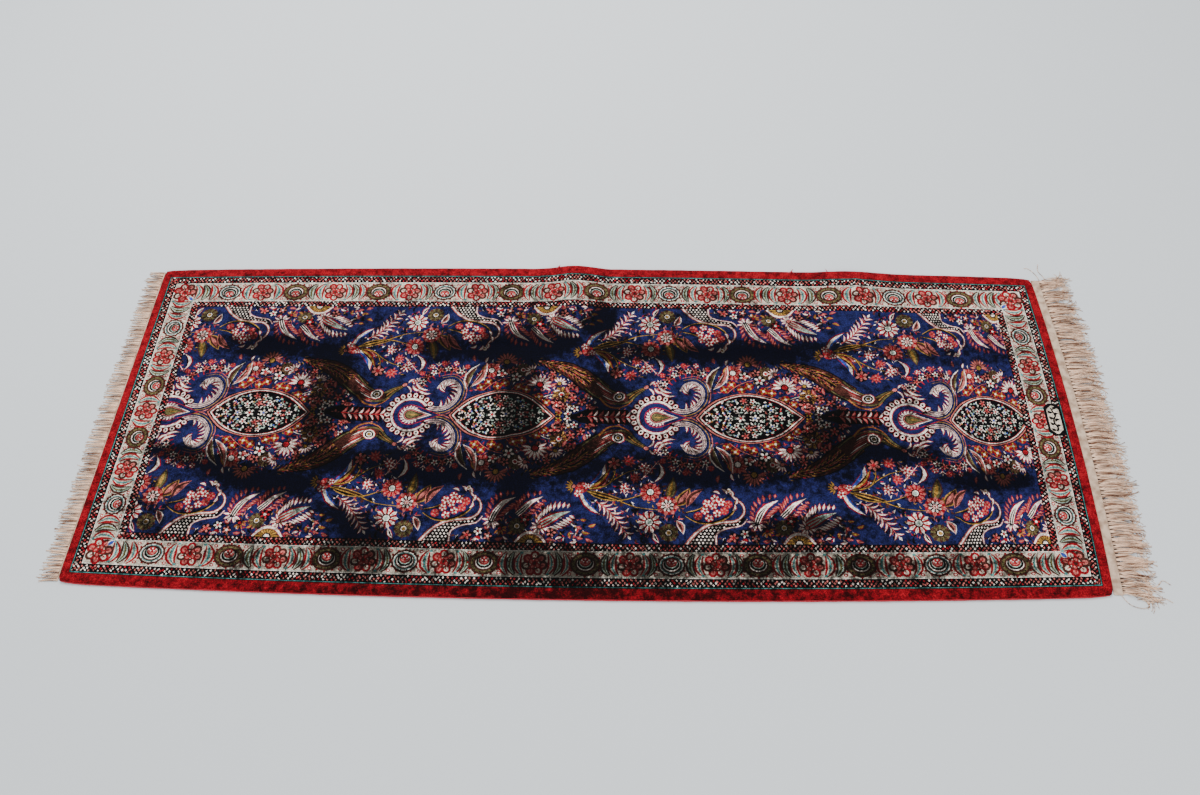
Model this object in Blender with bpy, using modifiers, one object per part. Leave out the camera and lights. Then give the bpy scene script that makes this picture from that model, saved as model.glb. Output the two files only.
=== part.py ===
"""A long, narrow Persian pile rug lying loosely on a floor, with a fringe at each end.

Metres, +Z up. +X runs along the rug, +Y across it, away from the side a viewer stands at.
The origin is on the floor, under the middle of the rug.
"""

import math
import random

import bmesh
import bpy
from mathutils import Vector

# Plan of the woven rug
LEFT_END_X = -1.004
RIGHT_END_X = 1.004
RIGHT_END_BOW = 0.012
SIDE_COLUMNS = ("left", "middle", "right")
SIDES = {
    # The distance of each long side from the middle line, at the left end, halfway and at the right end
    "far": dict(zip(SIDE_COLUMNS, (0.379, 0.390, 0.371))),
    "near": dict(zip(SIDE_COLUMNS, (0.389, 0.400, 0.3725))),
}
CORNER_PULL = 0.005
CORNER_SHARPNESS = 40

# Thicknesses
RUG_THICKNESS = 0.005
RIM_BEVEL = 0.0013
STRIP_THICKNESS = 0.002
GAP = 0.0003

# How finely the sheet follows the folds
STEPS_ALONG = 50
STEPS_ACROSS = 24

# Soft ridges in which the cloth stands off the floor. Each has the middle of its crest, the turn
# of its crest from +X towards +Y in degrees, its half length, its half width and its height.
FOLD_COLUMNS = ("name", "x", "y", "turn", "half_length", "half_width", "height")
FOLD_ROWS = (
    ("far ridge, left", -0.68, 0.215, -2, 0.26, 0.075, 0.007),
    ("far ridge, middle", -0.25, 0.212, 3, 0.21, 0.075, 0.009),
    ("far ridge, right", 0.34, 0.215, 0, 0.29, 0.075, 0.008),
    ("old crease to the far side", -0.03, 0.37, 90, 0.32, 0.085, 0.013),
    ("far side swell, right", 0.60, 0.37, 90, 0.17, 0.120, 0.008),
    ("left swell", -0.54, 0.02, 75, 0.18, 0.085, 0.010),
    ("cross swell", -0.15, -0.06, 88, 0.27, 0.080, 0.011),
    ("near ridge, left", -0.76, -0.085, 0, 0.20, 0.070, 0.006),
    ("near ridge, middle", -0.36, -0.110, -8, 0.19, 0.075, 0.010),
    ("near ridge, right", 0.30, -0.110, 0, 0.24, 0.070, 0.008),
    ("right swell", 0.53, -0.015, 10, 0.17, 0.090, 0.011),
    ("right ripple", 0.79, -0.120, -5, 0.15, 0.070, 0.005),
    ("near ripple, left", -0.45, -0.270, -15, 0.16, 0.070, 0.006),
    ("near ripple, right", 0.45, -0.250, 0, 0.16, 0.070, 0.005),
)
FOLDS = [dict(zip(FOLD_COLUMNS, row)) for row in FOLD_ROWS]

# Fringe: the warp ends stand out of a narrow flat-woven strip in bundles
BUNDLES = 130
BUNDLE_ROOT_WIDTH = 0.0034
BUNDLE_TIP_WIDTH = 0.0022
BUNDLE_STEPS = 3
BUNDLE_SIDE_MARGIN = 0.003
STRIP_STEPS = 12
FRINGE_COLUMNS = ("strip", "length", "unevenness", "seed", "far_lean", "near_lean", "fan_reach")
FRINGES = {
    # Width of the strip, mean length of the bundles and how much it varies, the seed of their
    # variation, the angles at which the outermost bundles lean out, and how far in that reaches
    "left": dict(zip(FRINGE_COLUMNS, (0.0045, 0.037, 0.10, 3, 14, -16, 0.08))),
    "right": dict(zip(FRINGE_COLUMNS, (0.0190, 0.064, 0.15, 8, 52, -38, 0.13))),
}
FAN_SHARPNESS = 1.5
SWAY_ANGLE = 3.0
SWAY_WAVES = (31, 13)
ANGLE_JITTER = 1.0

MATERIALS = {
    # Colour, roughness and metallic value
    "pile": ((0.055, 0.030, 0.075, 1), 0.65, 0.0),
    "warp": ((0.560, 0.380, 0.290, 1), 0.85, 0.0),
}


def side_y(side, x):
    """The long side's place at x: a parabola through its three distances."""
    row = SIDES[side]
    along = x / ((RIGHT_END_X - LEFT_END_X) / 2)
    tilt = (row["right"] - row["left"]) / 2
    bow = (row["right"] + row["left"]) / 2 - row["middle"]
    distance = row["middle"] + tilt * along + bow * along * along
    return distance if side == "far" else -distance


def plan(u, v):
    """The place on the floor of the sheet's point (u, v), each of them from -1 to 1."""
    middle_x = (LEFT_END_X + RIGHT_END_X) / 2
    half_length = (RIGHT_END_X - LEFT_END_X) / 2
    corner = CORNER_PULL * abs(u * v) ** CORNER_SHARPNESS
    bow = RIGHT_END_BOW * max(u, 0) ** 4 * (1 - v * v)
    x = middle_x + u * half_length + bow - math.copysign(corner, u)
    far = side_y("far", x)
    near = side_y("near", x)
    y = (far + near) / 2 + v * (far - near) / 2 - math.copysign(corner, v)
    return x, y


def swell(distance, reach):
    """1 on the crest, falling smoothly to 0 at the reach and beyond it."""
    share = min(abs(distance) / reach, 1)
    return math.cos(share * math.pi / 2) ** 2


def fold_height(x, y):
    """How far the folds lift the cloth off the floor here."""
    height = 0
    for fold in FOLDS:
        turn = math.radians(fold["turn"])
        dx = x - fold["x"]
        dy = y - fold["y"]
        along = dx * math.cos(turn) + dy * math.sin(turn)
        across = dy * math.cos(turn) - dx * math.sin(turn)
        lengthwise = swell(along, fold["half_length"])
        crosswise = swell(across, fold["half_width"])
        height += fold["height"] * lengthwise * crosswise
    return height


def clear_scene():
    for old in list(bpy.data.objects):
        bpy.data.objects.remove(old, do_unlink=True)


def make_material(name):
    colour, roughness, metallic = MATERIALS[name]
    material = bpy.data.materials.new(name)
    material.use_nodes = True
    shader = material.node_tree.nodes["Principled BSDF"]
    shader.inputs["Base Color"].default_value = colour
    shader.inputs["Roughness"].default_value = roughness
    shader.inputs["Metallic"].default_value = metallic
    material.diffuse_color = colour
    return material


def link(name, data, material, collection):
    made = bpy.data.objects.new(name, data)
    data.materials.append(material)
    collection.objects.link(made)
    return made


def make_rug(material, collection):
    """The woven sheet: its underside is a grid laid on the floor and lifted by the folds."""
    mesh = bpy.data.meshes.new("rug")
    sheet = bmesh.new()
    bmesh.ops.create_grid(sheet, x_segments=STEPS_ALONG, y_segments=STEPS_ACROSS, size=1)
    for point in sheet.verts:
        x, y = plan(point.co.x, point.co.y)
        point.co = Vector((x, y, fold_height(x, y)))
    sheet.to_mesh(mesh)
    sheet.free()
    rug = link("rug", mesh, material, collection)
    body = rug.modifiers.new("Cloth thickness", "SOLIDIFY")
    body.thickness = RUG_THICKNESS
    body.offset = 1
    rim = rug.modifiers.new("Rounded rim", "BEVEL")
    rim.width = RIM_BEVEL
    rim.segments = 1
    rim.limit_method = "ANGLE"
    rim.angle_limit = math.radians(60)


def strip_side_x(end, y, out):
    """The side of a strip at y: 0 out is next to the pile, 1 out is where the bundles start."""
    outwards = -1 if end == "left" else 1
    distance = GAP + out * (FRINGES[end]["strip"] - GAP)
    if end == "left":
        return LEFT_END_X + outwards * distance
    far_y = side_y("far", RIGHT_END_X)
    near_y = side_y("near", RIGHT_END_X)
    across = (2 * y - far_y - near_y) / (far_y - near_y)
    return RIGHT_END_X + RIGHT_END_BOW * (1 - across * across) + outwards * distance


def lean_angle(end, y, far_y, near_y):
    """How far a bundle's tip points towards +Y, in degrees: the outermost ones fan out."""
    fringe = FRINGES[end]
    to_far = max(0, 1 - (far_y - y) / fringe["fan_reach"]) ** FAN_SHARPNESS
    to_near = max(0, 1 - (y - near_y) / fringe["fan_reach"]) ** FAN_SHARPNESS
    sway = sum(math.sin(wave * y + wave) for wave in SWAY_WAVES) / len(SWAY_WAVES)
    return fringe["far_lean"] * to_far + fringe["near_lean"] * to_near + SWAY_ANGLE * sway


def bundle_outline(x, y, outwards, length, lean, mean_length):
    """One bundle's outline, from its near root round its tip to its far root."""
    near_side = []
    far_side = []
    step = length / BUNDLE_STEPS
    for row in range(BUNDLE_STEPS + 1):
        share = row / BUNDLE_STEPS
        width = BUNDLE_ROOT_WIDTH + (BUNDLE_TIP_WIDTH - BUNDLE_ROOT_WIDTH) * share
        near_side.append((x, y - width / 2))
        far_side.append((x, y + width / 2))
        bend = math.radians(lean * (row + 0.5) * step / mean_length)
        x += outwards * step * math.cos(bend)
        y += step * math.sin(bend)
    return near_side + far_side[::-1]


def fringe_outline(end):
    """Along the strip's inner side from far to near, then in and out of each bundle back to the far side."""
    fringe = FRINGES[end]
    chance = random.Random(fringe["seed"])
    outwards = -1 if end == "left" else 1
    end_x = LEFT_END_X if end == "left" else RIGHT_END_X
    far_y = side_y("far", end_x) - CORNER_PULL
    near_y = side_y("near", end_x) + CORNER_PULL
    outline = []
    for step in range(STRIP_STEPS + 1):
        y = far_y + (near_y - far_y) * step / STRIP_STEPS
        outline.append((strip_side_x(end, y, 0), y))
    outline.append((strip_side_x(end, near_y, 1), near_y))
    span = far_y - near_y - 2 * BUNDLE_SIDE_MARGIN
    for bundle in range(BUNDLES):
        root_y = near_y + BUNDLE_SIDE_MARGIN + span * (bundle + 0.5) / BUNDLES
        root_x = strip_side_x(end, root_y, 1)
        lean = lean_angle(end, root_y, far_y, near_y) + chance.uniform(-1, 1) * ANGLE_JITTER
        length = fringe["length"] * (1 + chance.uniform(-1, 1) * fringe["unevenness"])
        outline += bundle_outline(root_x, root_y, outwards, length, lean, fringe["length"])
    outline.append((strip_side_x(end, far_y, 1), far_y))
    return outline


def make_fringe(end, material, collection):
    """The flat-woven strip and the bundles of warp ends that stand out of it, lying flat on the floor."""
    outline = fringe_outline(end)
    curve = bpy.data.curves.new(end + "_fringe", "CURVE")
    curve.dimensions = "2D"
    curve.fill_mode = "BOTH"
    curve.extrude = STRIP_THICKNESS / 2
    line = curve.splines.new("POLY")
    line.points.add(len(outline) - 1)
    line.use_cyclic_u = True
    for point, (x, y) in zip(line.points, outline):
        point.co = (x, y, 0, 1)
    fringe = link(end + "_fringe", curve, material, collection)
    fringe.location.z = STRIP_THICKNESS / 2


def main():
    clear_scene()
    collection = bpy.data.collections.new("persian_rug")
    bpy.context.scene.collection.children.link(collection)
    pile = make_material("pile")
    warp = make_material("warp")
    make_rug(pile, collection)
    for end in FRINGES:
        make_fringe(end, warp, collection)


main()
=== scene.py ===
"""Dresses the rug's frame: knotted pile with its woven design, bound sides, flat-woven ends and fringe."""

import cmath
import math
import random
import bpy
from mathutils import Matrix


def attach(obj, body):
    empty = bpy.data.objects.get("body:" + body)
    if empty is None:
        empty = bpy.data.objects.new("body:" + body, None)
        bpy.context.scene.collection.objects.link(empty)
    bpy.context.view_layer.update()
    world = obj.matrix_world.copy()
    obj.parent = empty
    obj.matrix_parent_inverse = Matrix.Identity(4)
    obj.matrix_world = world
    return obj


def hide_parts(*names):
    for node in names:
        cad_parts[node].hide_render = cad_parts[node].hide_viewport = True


bl_info = {
    "name": "Persian rug",
    "version": (1, 0, 0),
    "blender": (4, 5, 0),
    "location": "3D View > Sidebar > Rug",
    "description": "Weaves a long Persian pile rug with its border, field, flat-woven ends and fringe",
    "category": "Add Mesh",
}

import bmesh
import bpy
import numpy as np
from mathutils import Matrix, Vector
from mathutils.bvhtree import BVHTree
from mathutils.geometry import delaunay_2d_cdt

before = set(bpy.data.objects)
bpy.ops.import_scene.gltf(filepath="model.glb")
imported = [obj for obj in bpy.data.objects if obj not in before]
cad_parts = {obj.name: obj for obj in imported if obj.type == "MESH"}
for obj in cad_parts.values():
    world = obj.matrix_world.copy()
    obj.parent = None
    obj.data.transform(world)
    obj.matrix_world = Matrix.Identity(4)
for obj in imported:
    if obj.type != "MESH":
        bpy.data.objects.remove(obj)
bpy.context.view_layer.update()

MM = 0.001

# The rug as it was woven, flat, in millimetres: x along it, y across it, from its middle
END_LEFT, END_RIGHT, SIDE = -1004.0, 1004.0, 400.0
FIELD_LEFT, FIELD_RIGHT, FIELD_HALF = -897.0, 905.0, 286.0
# The plan in which it lies: each long side's distance from the middle line, at the left end, halfway and
# at the right end
FAR_SIDE = (379.0, 390.0, 371.0)
NEAR_SIDE = (389.0, 400.0, 372.5)
RIGHT_BOW = 12.0
CORNER_PULL = 5.0


# Colours


def linear(hex_colour):
    """An sRGB hex colour as the linear values that Blender's nodes take."""
    channels = [int(hex_colour[i : i + 2], 16) / 255 for i in (1, 3, 5)]
    return [c / 12.92 if c <= 0.04045 else ((c + 0.055) / 1.055) ** 2.4 for c in channels]


DYES = {
    "navy": "#191C46",
    "ink": "#090609",
    "red": "#9A1822",
    "crimson": "#820D17",
    "rose": "#B05E57",
    "cream": "#E8D8CB",
    "gold": "#9B7434",
    "olive": "#5A5232",
    "brown": "#42211B",
    "blue": "#344A9C",
    "teal": "#45807C",
    "celadon": "#96A99A",
    "beige": "#C2B3A1",
}
DYE_NAMES = list(DYES)
INK = DYE_NAMES.index("ink")


# Drawing in the flat: points are complex numbers in millimetres, and a shape is (outline, dye)


def spun(z, turn):
    return z * cmath.exp(1j * math.radians(turn))


def heading(z):
    return math.degrees(cmath.phase(z))


def oval(middle, along, across=None, turn=0, points=12):
    across = along if across is None else across
    angles = [math.tau * step / points for step in range(points)]
    return [middle + spun(complex(along * math.cos(t), across * math.sin(t)), turn) for t in angles]


def smooth(route, steps=3):
    """Points on a smooth curve through the route's own points."""
    ends = [2 * route[0] - route[1], *route, 2 * route[-1] - route[-2]]
    points = []
    for p0, p1, p2, p3 in zip(ends, ends[1:], ends[2:], ends[3:]):
        for step in range(steps):
            t = step / steps
            cubic = (3 * p1 - p0 - 3 * p2 + p3) * t**3
            square = (2 * p0 - 5 * p1 + 4 * p2 - p3) * t * t
            points.append(0.5 * (2 * p1 + (p2 - p0) * t + square + cubic))
    points.append(route[-1])
    return points


def band(route, width, end_width=0.0, swell=0.0, steps=3):
    """A stripe along a smooth route, from its first width to its last, fuller halfway by swell."""
    points = smooth(route, steps)
    left = []
    right = []
    for i, here in enumerate(points):
        ahead = points[min(i + 1, len(points) - 1)] - points[max(i - 1, 0)]
        side = ahead / abs(ahead) * 1j
        t = i / (len(points) - 1)
        half = (width + (end_width - width) * t) / 2 + swell * math.sin(math.pi * t) / 2
        left.append(here + side * half)
        right.append(here - side * half)
    if end_width < 0.3:
        right.pop()
    return left + right[::-1]


def blade(root, tip, width, bend=0.0, steps=4):
    """A pointed leaf from root to tip, whose spine bows to its left by bend times its length."""
    along = tip - root
    side = along / abs(along) * 1j
    left = []
    right = []
    for step in range(1, steps):
        t = step / steps
        spine = root + along * t + side * bend * abs(along) * 4 * t * (1 - t)
        half = width / 2 * math.sin(math.pi * t**0.85)
        left.append(spine + side * half)
        right.append(spine - side * half)
    return [root, *right, tip, *left[::-1]]


def leaf(root, tip, width, dye="cream", rib="ink", bend=0.0, edge=1.7, rim="crimson"):
    along = tip - root
    shapes = [(blade(root - along * 0.03, tip + along * 0.05, width + 2 * edge, bend), rim)]
    shapes.append((blade(root, tip, width * 0.88, bend), dye))
    if rib:
        shapes.append((blade(root + along * 0.12, tip - along * 0.12, width * 0.42, bend * 0.76, 3), rib))
    return shapes


def daisy(middle, radius, petals=10, petal="cream", heart="celadon", ring="ink", turn=0, halo="crimson"):
    """A flower seen face on: long petals with dark gaps round a ringed heart."""
    shapes = [(oval(middle, radius * 0.93, points=12, turn=turn), halo)]
    half = 180 / petals * 0.58
    for number in range(petals):
        way = turn + 360 * number / petals
        outline = ((0.34, -half * 0.4), (0.84, -half), (1.06, 0), (0.84, half), (0.34, half * 0.4))
        shapes.append(([middle + spun(radius * r, way + a) for r, a in outline], petal))
        start, end = (middle + spun(radius * share, way) for share in (0.45, 0.8))
        shapes.append((blade(start, end, radius * 0.09, 0, 2), halo))
    shapes.append((oval(middle, radius * 0.42, points=8, turn=turn), ring))
    shapes.append((oval(middle, radius * 0.31, points=7, turn=turn), "cream"))
    shapes.append((oval(middle, radius * 0.22, points=6, turn=turn), heart))
    return shapes


def floret(middle, radius, petal="rose", heart="red", petals=5, turn=0, halo="ink"):
    """A small flower of round petals."""
    shapes = [(oval(middle, radius * 1.08, points=9, turn=turn), halo)]
    for number in range(petals):
        out = spun(radius * 0.62, turn + 360 * number / petals)
        shapes.append((oval(middle + out, radius * 0.37, radius * 0.24, heading(out), 6), petal))
    shapes.append((oval(middle, radius * 0.32, points=6), heart))
    return shapes


def fan(root, radius, facing, petals=7, spread=170, petal="rose", heart="gold", rim="red"):
    """Half a flower: rays from its root."""
    shapes = []
    for number in range(petals):
        way = facing + spread * (number / (petals - 1) - 0.5)
        start = root + spun(radius * 0.25, way)
        shapes.append((blade(start, root + spun(radius * 1.06, way), radius * 0.34, 0, 3), rim))
        shapes.append((blade(start, root + spun(radius, way), radius * 0.20, 0, 3), petal))
    shapes.append((oval(root, radius * 0.34, points=7), "ink"))
    shapes.append((oval(root, radius * 0.24, points=6), heart))
    return shapes


def walked(line, share):
    """The point at a share of a line of points, and the unit step ahead there."""
    at = share * (len(line) - 1)
    low = min(int(at), len(line) - 2)
    ahead = line[low + 1] - line[max(low - 1, 0)]
    return line[low] + (line[low + 1] - line[low]) * (at - low), ahead / abs(ahead)


def frond(route, reach, pairs=7, petal="cream", spine="rose", rim="crimson", lean=42):
    """A stem with a row of curved leaflets on both sides, well apart."""
    line = smooth(route, 4)
    shapes = []
    for number in range(pairs):
        share = (number + 0.6) / (pairs + 0.2)
        here, ahead = walked(line, share)
        length = reach * (0.55 + 0.45 * math.sin(math.pi * (share * 0.8 + 0.15)))
        for side in (1, -1):
            tip = here + spun(ahead * length, side * lean)
            shapes.append((blade(here, tip + (tip - here) * 0.06, reach * 0.26, -0.14 * side, 3), rim))
            shapes.append((blade(here, tip, reach * 0.135, -0.14 * side, 3), petal))
    last = line[-1] - line[-2]
    end = line[-1] + last / abs(last) * reach * 0.5
    shapes.append((blade(line[-1], end, reach * 0.24, 0, 2), petal))
    shapes.append((band(route, 3.0, 1.6, steps=2), rim))
    shapes.append((band(route, 1.4, 0.8, steps=2), spine))
    return shapes


def toothed_leaf(route, width, teeth=7, core="cream", tooth="cream", rib="ink", rim="crimson"):
    """A leaf with a pale heart, edged with separate teeth."""
    line = smooth(route, 4)
    shapes = []
    for number in range(teeth):
        share = (number + 0.3) / teeth
        here, ahead = walked(line, share)
        full = width * (0.45 + 0.55 * math.sin(math.pi * min(1, share * 0.9 + 0.1)))
        for side in (1, -1):
            start = here + spun(ahead * full * 0.36, side * 72)
            tip = here + spun(ahead * full * 0.86, side * 60)
            shapes.append((blade(start, tip + (tip - start) * 0.12, width * 0.25, 0, 2), rim))
            shapes.append((blade(start, tip, width * 0.135, 0, 2), tooth))
    shapes.append((band(route, width * 0.42, 0.1, width * 0.30, 2), "crimson"))
    shapes.append((band(route, width * 0.30, 0.1, width * 0.19, 2), core))
    shapes.append((band(route[:-1], width * 0.22, 0.4, width * 0.13, 2), rib))
    shapes.append((band(route[:-1], width * 0.05, 0.4, width * 0.04, 2), core))
    return shapes


def stem(route, width=2.4, dye="gold", edge=1.2):
    return [(band(route, width + 2 * edge, 1.6, steps=2), "ink"), (band(route, width, 0.8, steps=2), dye)]


def placed(shapes, at, turn=0, size=1.0):
    return [([at + spun(p * size, turn) for p in points], dye) for points, dye in shapes]


def mirrored(shapes):
    return [([p.conjugate() for p in points], dye) for points, dye in shapes]


def inside(point, outline):
    crossings = 0
    for a, b in zip(outline, outline[1:] + outline[:1]):
        if (a.imag > point.imag) != (b.imag > point.imag):
            at = a.real + (b.real - a.real) * (point.imag - a.imag) / (b.imag - a.imag)
            crossings += at > point.real
    return crossings % 2 == 1


def clipped(points, low, high):
    """The part of an outline inside a rectangle given by two corners."""
    limits = (
        ("real", low.real, 1), ("real", high.real, -1), ("imag", low.imag, 1), ("imag", high.imag, -1),
    )
    for part, edge, sign in limits:
        kept = []
        for here, after in zip(points, points[1:] + points[:1]):
            a = (getattr(here, part) - edge) * sign
            b = (getattr(after, part) - edge) * sign
            if a >= 0:
                kept.append(here)
            if a * b < 0:
                kept.append(here + (after - here) * a / (a - b))
        points = kept
        if len(points) < 3:
            return []
    return points


def rectangle(left, right, bottom, top):
    return [complex(left, bottom), complex(right, bottom), complex(right, top), complex(left, top)]


# The field: one half repeat, from the jar-shaped flower at 0 to the next, above the middle line

HEADS = (-1410.0, -888.0, -366.0, 156.0, 678.0)
PLUME = (-6 + 34j, 16 + 32j, 36 + 20j, 58 + 15j, 80 + 23j, 96 + 44j, 98 + 70j, 82 + 87j, 62 + 83j, 51 + 66j)
PLUME_EYE = 72 + 56j


def half_ring(inner, outer, opening, steps=9):
    ways = [opening + (180 - opening) * step / steps for step in range(steps + 1)]
    return [spun(outer, way) for way in ways] + [spun(inner, way) for way in reversed(ways)]


def drop(radius, tip, points=8):
    """A drop: round at its left, and drawn out to a tip on its right."""
    start = math.degrees(math.acos(min(0.9, radius / tip)))
    ways = [start + (360 - 2 * start) * step / points for step in range(points + 1)]
    return [complex(tip, 0)] + [spun(radius, way) for way in ways]


def head():
    """The scalloped collar of the jar-shaped flower."""
    shapes = [(half_ring(20, 56, 26), "ink")]
    for number in range(10):
        way = 34 + 16.2 * number
        at = spun(48.5, way)
        shapes.append((oval(at, 7.6, 6.4, way, 8), "crimson"))
        shapes.append((oval(at, 6.0, 4.8, way, 8), "cream"))
        shapes.append((oval(at, 3.2, 2.5, way, 6), "ink"))
    rings = ((24, 42.8, "ink"), (37, 41.6, "cream"), (35.2, 37, "red"), (24, 35.2, "navy"))
    shapes += [(half_ring(inner, outer, 34), dye) for inner, outer, dye in rings]
    return shapes


def jar_heart():
    """The drop in the collar, whole, over the middle line, with a comb of pale teeth round it."""
    shapes = [(drop(radius, tip), dye) for radius, tip, dye in ((25.5, 66, "red"), (24, 62, "navy"))]
    for way in range(40, 321, 20):
        shapes.append((blade(spun(14, way), spun(24.5, way - 12), 6.4, 0.1, 2), "red"))
        shapes.append((blade(spun(14, way), spun(23, way - 12), 4.2, 0.1, 2), "cream"))
    rows = ((16.5, 46, "cream"), (14.6, 41, "ink"), (13.2, 38, "rose"), (11, 32, "ink"), (9.5, 28, "olive"))
    shapes += [(drop(radius, tip), dye) for radius, tip, dye in rows]
    return shapes + [(blade(-6 + 0j, 18 + 0j, 4, 0, 2), "gold")]


def away(p, middle, by):
    return p + (p - middle) / abs(p - middle) * by


def plume():
    """The scroll that curls out of the collar: nested lines, with a comb of hooks on its inner side."""
    shapes = []
    outline = [away(p, PLUME_EYE, 17) for p in PLUME[1:9]]
    for width, dye in ((4.6, "ink"), (3.0, "rose")):
        shapes.append((band(outline, width, 1.0), dye))
    outline = [away(p, PLUME_EYE, 11) for p in PLUME[1:9]]
    shapes.append((band(outline, 2.8, 0.8), "gold"))
    hooks = smooth(PLUME[3:], 4)
    for here, ahead in list(zip(hooks, hooks[1:]))[0:-1:2]:
        inward = spun((ahead - here) / abs(ahead - here), 62)
        shapes.append((blade(here, here + inward * 24, 7.4, -0.16, 3), "crimson"))
        shapes.append((blade(here, here + inward * 21, 3.8, -0.16, 3), "cream"))
    rows = (
        (16.5, 4.5, "ink"), (14, 3.6, "cream"), (11.2, 2.8, "crimson"), (9, 2.2, "navy"),
        (4.4, 1.4, "cream"),
    )
    shapes += [(band(PLUME, width, end_width), dye) for width, end_width, dye in rows]
    shapes.append((band(PLUME[1:], 1.5, 0.5), "red"))
    return shapes


def paisley_mass():
    """The floral crescent that lies round a plume: sprigs of pink and cream on the navy ground."""
    middle = PLUME_EYE
    shapes = []
    for number in range(9):
        way = 176 - 15 * number
        root = middle + spun(45, way)
        tip = middle + spun(78 - 0.6 * abs(number - 4) ** 2, way - 7)
        route = (root, (root + tip) / 2 + spun(2, way + 90), tip)
        shapes += frond(route, 13, 3, "cream" if number % 3 == 1 else "rose", "red")
    for number in range(8):
        way = 168 - 15 * number
        petal = "cream" if number % 2 else "rose"
        shapes += floret(middle + spun(61, way), 7.6, petal, "red", 5, way, "ink")
    for number in range(6):
        way = 160 - 20 * number
        shapes += floret(middle + spun(77, way), 6, "rose" if number % 2 else "cream", "red", 4, way, "red")
    for root, tip in ((2 + 84j, 34 + 62j), (8 + 66j, 40 + 54j), (-4 + 74j, 16 + 60j)):
        shapes += leaf(root, tip, 5.5, "cream", None, -0.2)
    shapes += leaf(114 + 66j, 136 + 128j, 13, "brown", "olive", 0.14, 1.8, "cream")
    shapes += leaf(122 + 72j, 152 + 130j, 11, "rose", "brown", -0.12, 1.8, "cream")
    return shapes


def cypress():
    """Half of the pointed medallion filled with small leaves and flowers."""
    shapes = []
    for inset, dye in (
        (0, "ink"), (2.4, "rose"), (5.2, "ink"), (8.0, "cream"), (10.2, "red"), (11.6, "ink"),
    ):
        left = 80 + inset * 1.25
        right = 312 - inset * 1.1
        top = 62 - inset * 0.8
        route = (left, 0), (left + 14, 0.3 * top), (left + 42, 0.72 * top), (172, top), (212, top)
        route += (right - 44, 0.7 * top), (right, 0)
        shapes.append((smooth([complex(x, y) for x, y in route], 3), dye))
    chance = random.Random(5)
    for row in range(6):
        for column in range(23):
            at = complex(104 + 8.2 * column + 4.1 * (row % 2), 3 + 7.4 * row)
            at += complex(chance.gauss(0, 1), chance.gauss(0, 1))
            reach = 46 * math.sin(math.pi * max(0, min(1, (at.real - 92) / 206)) ** 0.9) ** 0.8
            if at.imag > reach:
                continue
            way = chance.choice((20, 60, 120, 160)) + chance.gauss(0, 14)
            tip = at + spun(chance.uniform(6.5, 10), way)
            dye = chance.choice(("cream", "celadon", "cream", "rose", "celadon"))
            shapes.append((blade(at, tip, 3.9, 0.14, 2), dye))
            if chance.random() < 0.22:
                shapes.append((oval(tip, 2.2, points=5), chance.choice(("red", "blue", "red", "gold"))))
    flowers = (
        (176, 0, 10, "cream", "red"), (150, 0, 8, "cream", "blue"), (206, 0, 9, "cream", "blue"),
        (238, 0, 8, "cream", "red"), (124, 0, 7, "cream", "red"), (166, 22, 8, "cream", "red"),
        (192, 24, 8, "rose", "red"), (216, 22, 8, "cream", "red"), (184, 43, 8.5, "rose", "red"),
        (203, 42, 7, "cream", "red"), (240, 20, 7, "cream", "blue"), (262, 0, 7, "cream", "red"),
    )
    for x, y, radius, petal, heart in flowers:
        shapes += floret(complex(x, y), radius, petal, heart, 5, x)
    return shapes


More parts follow.
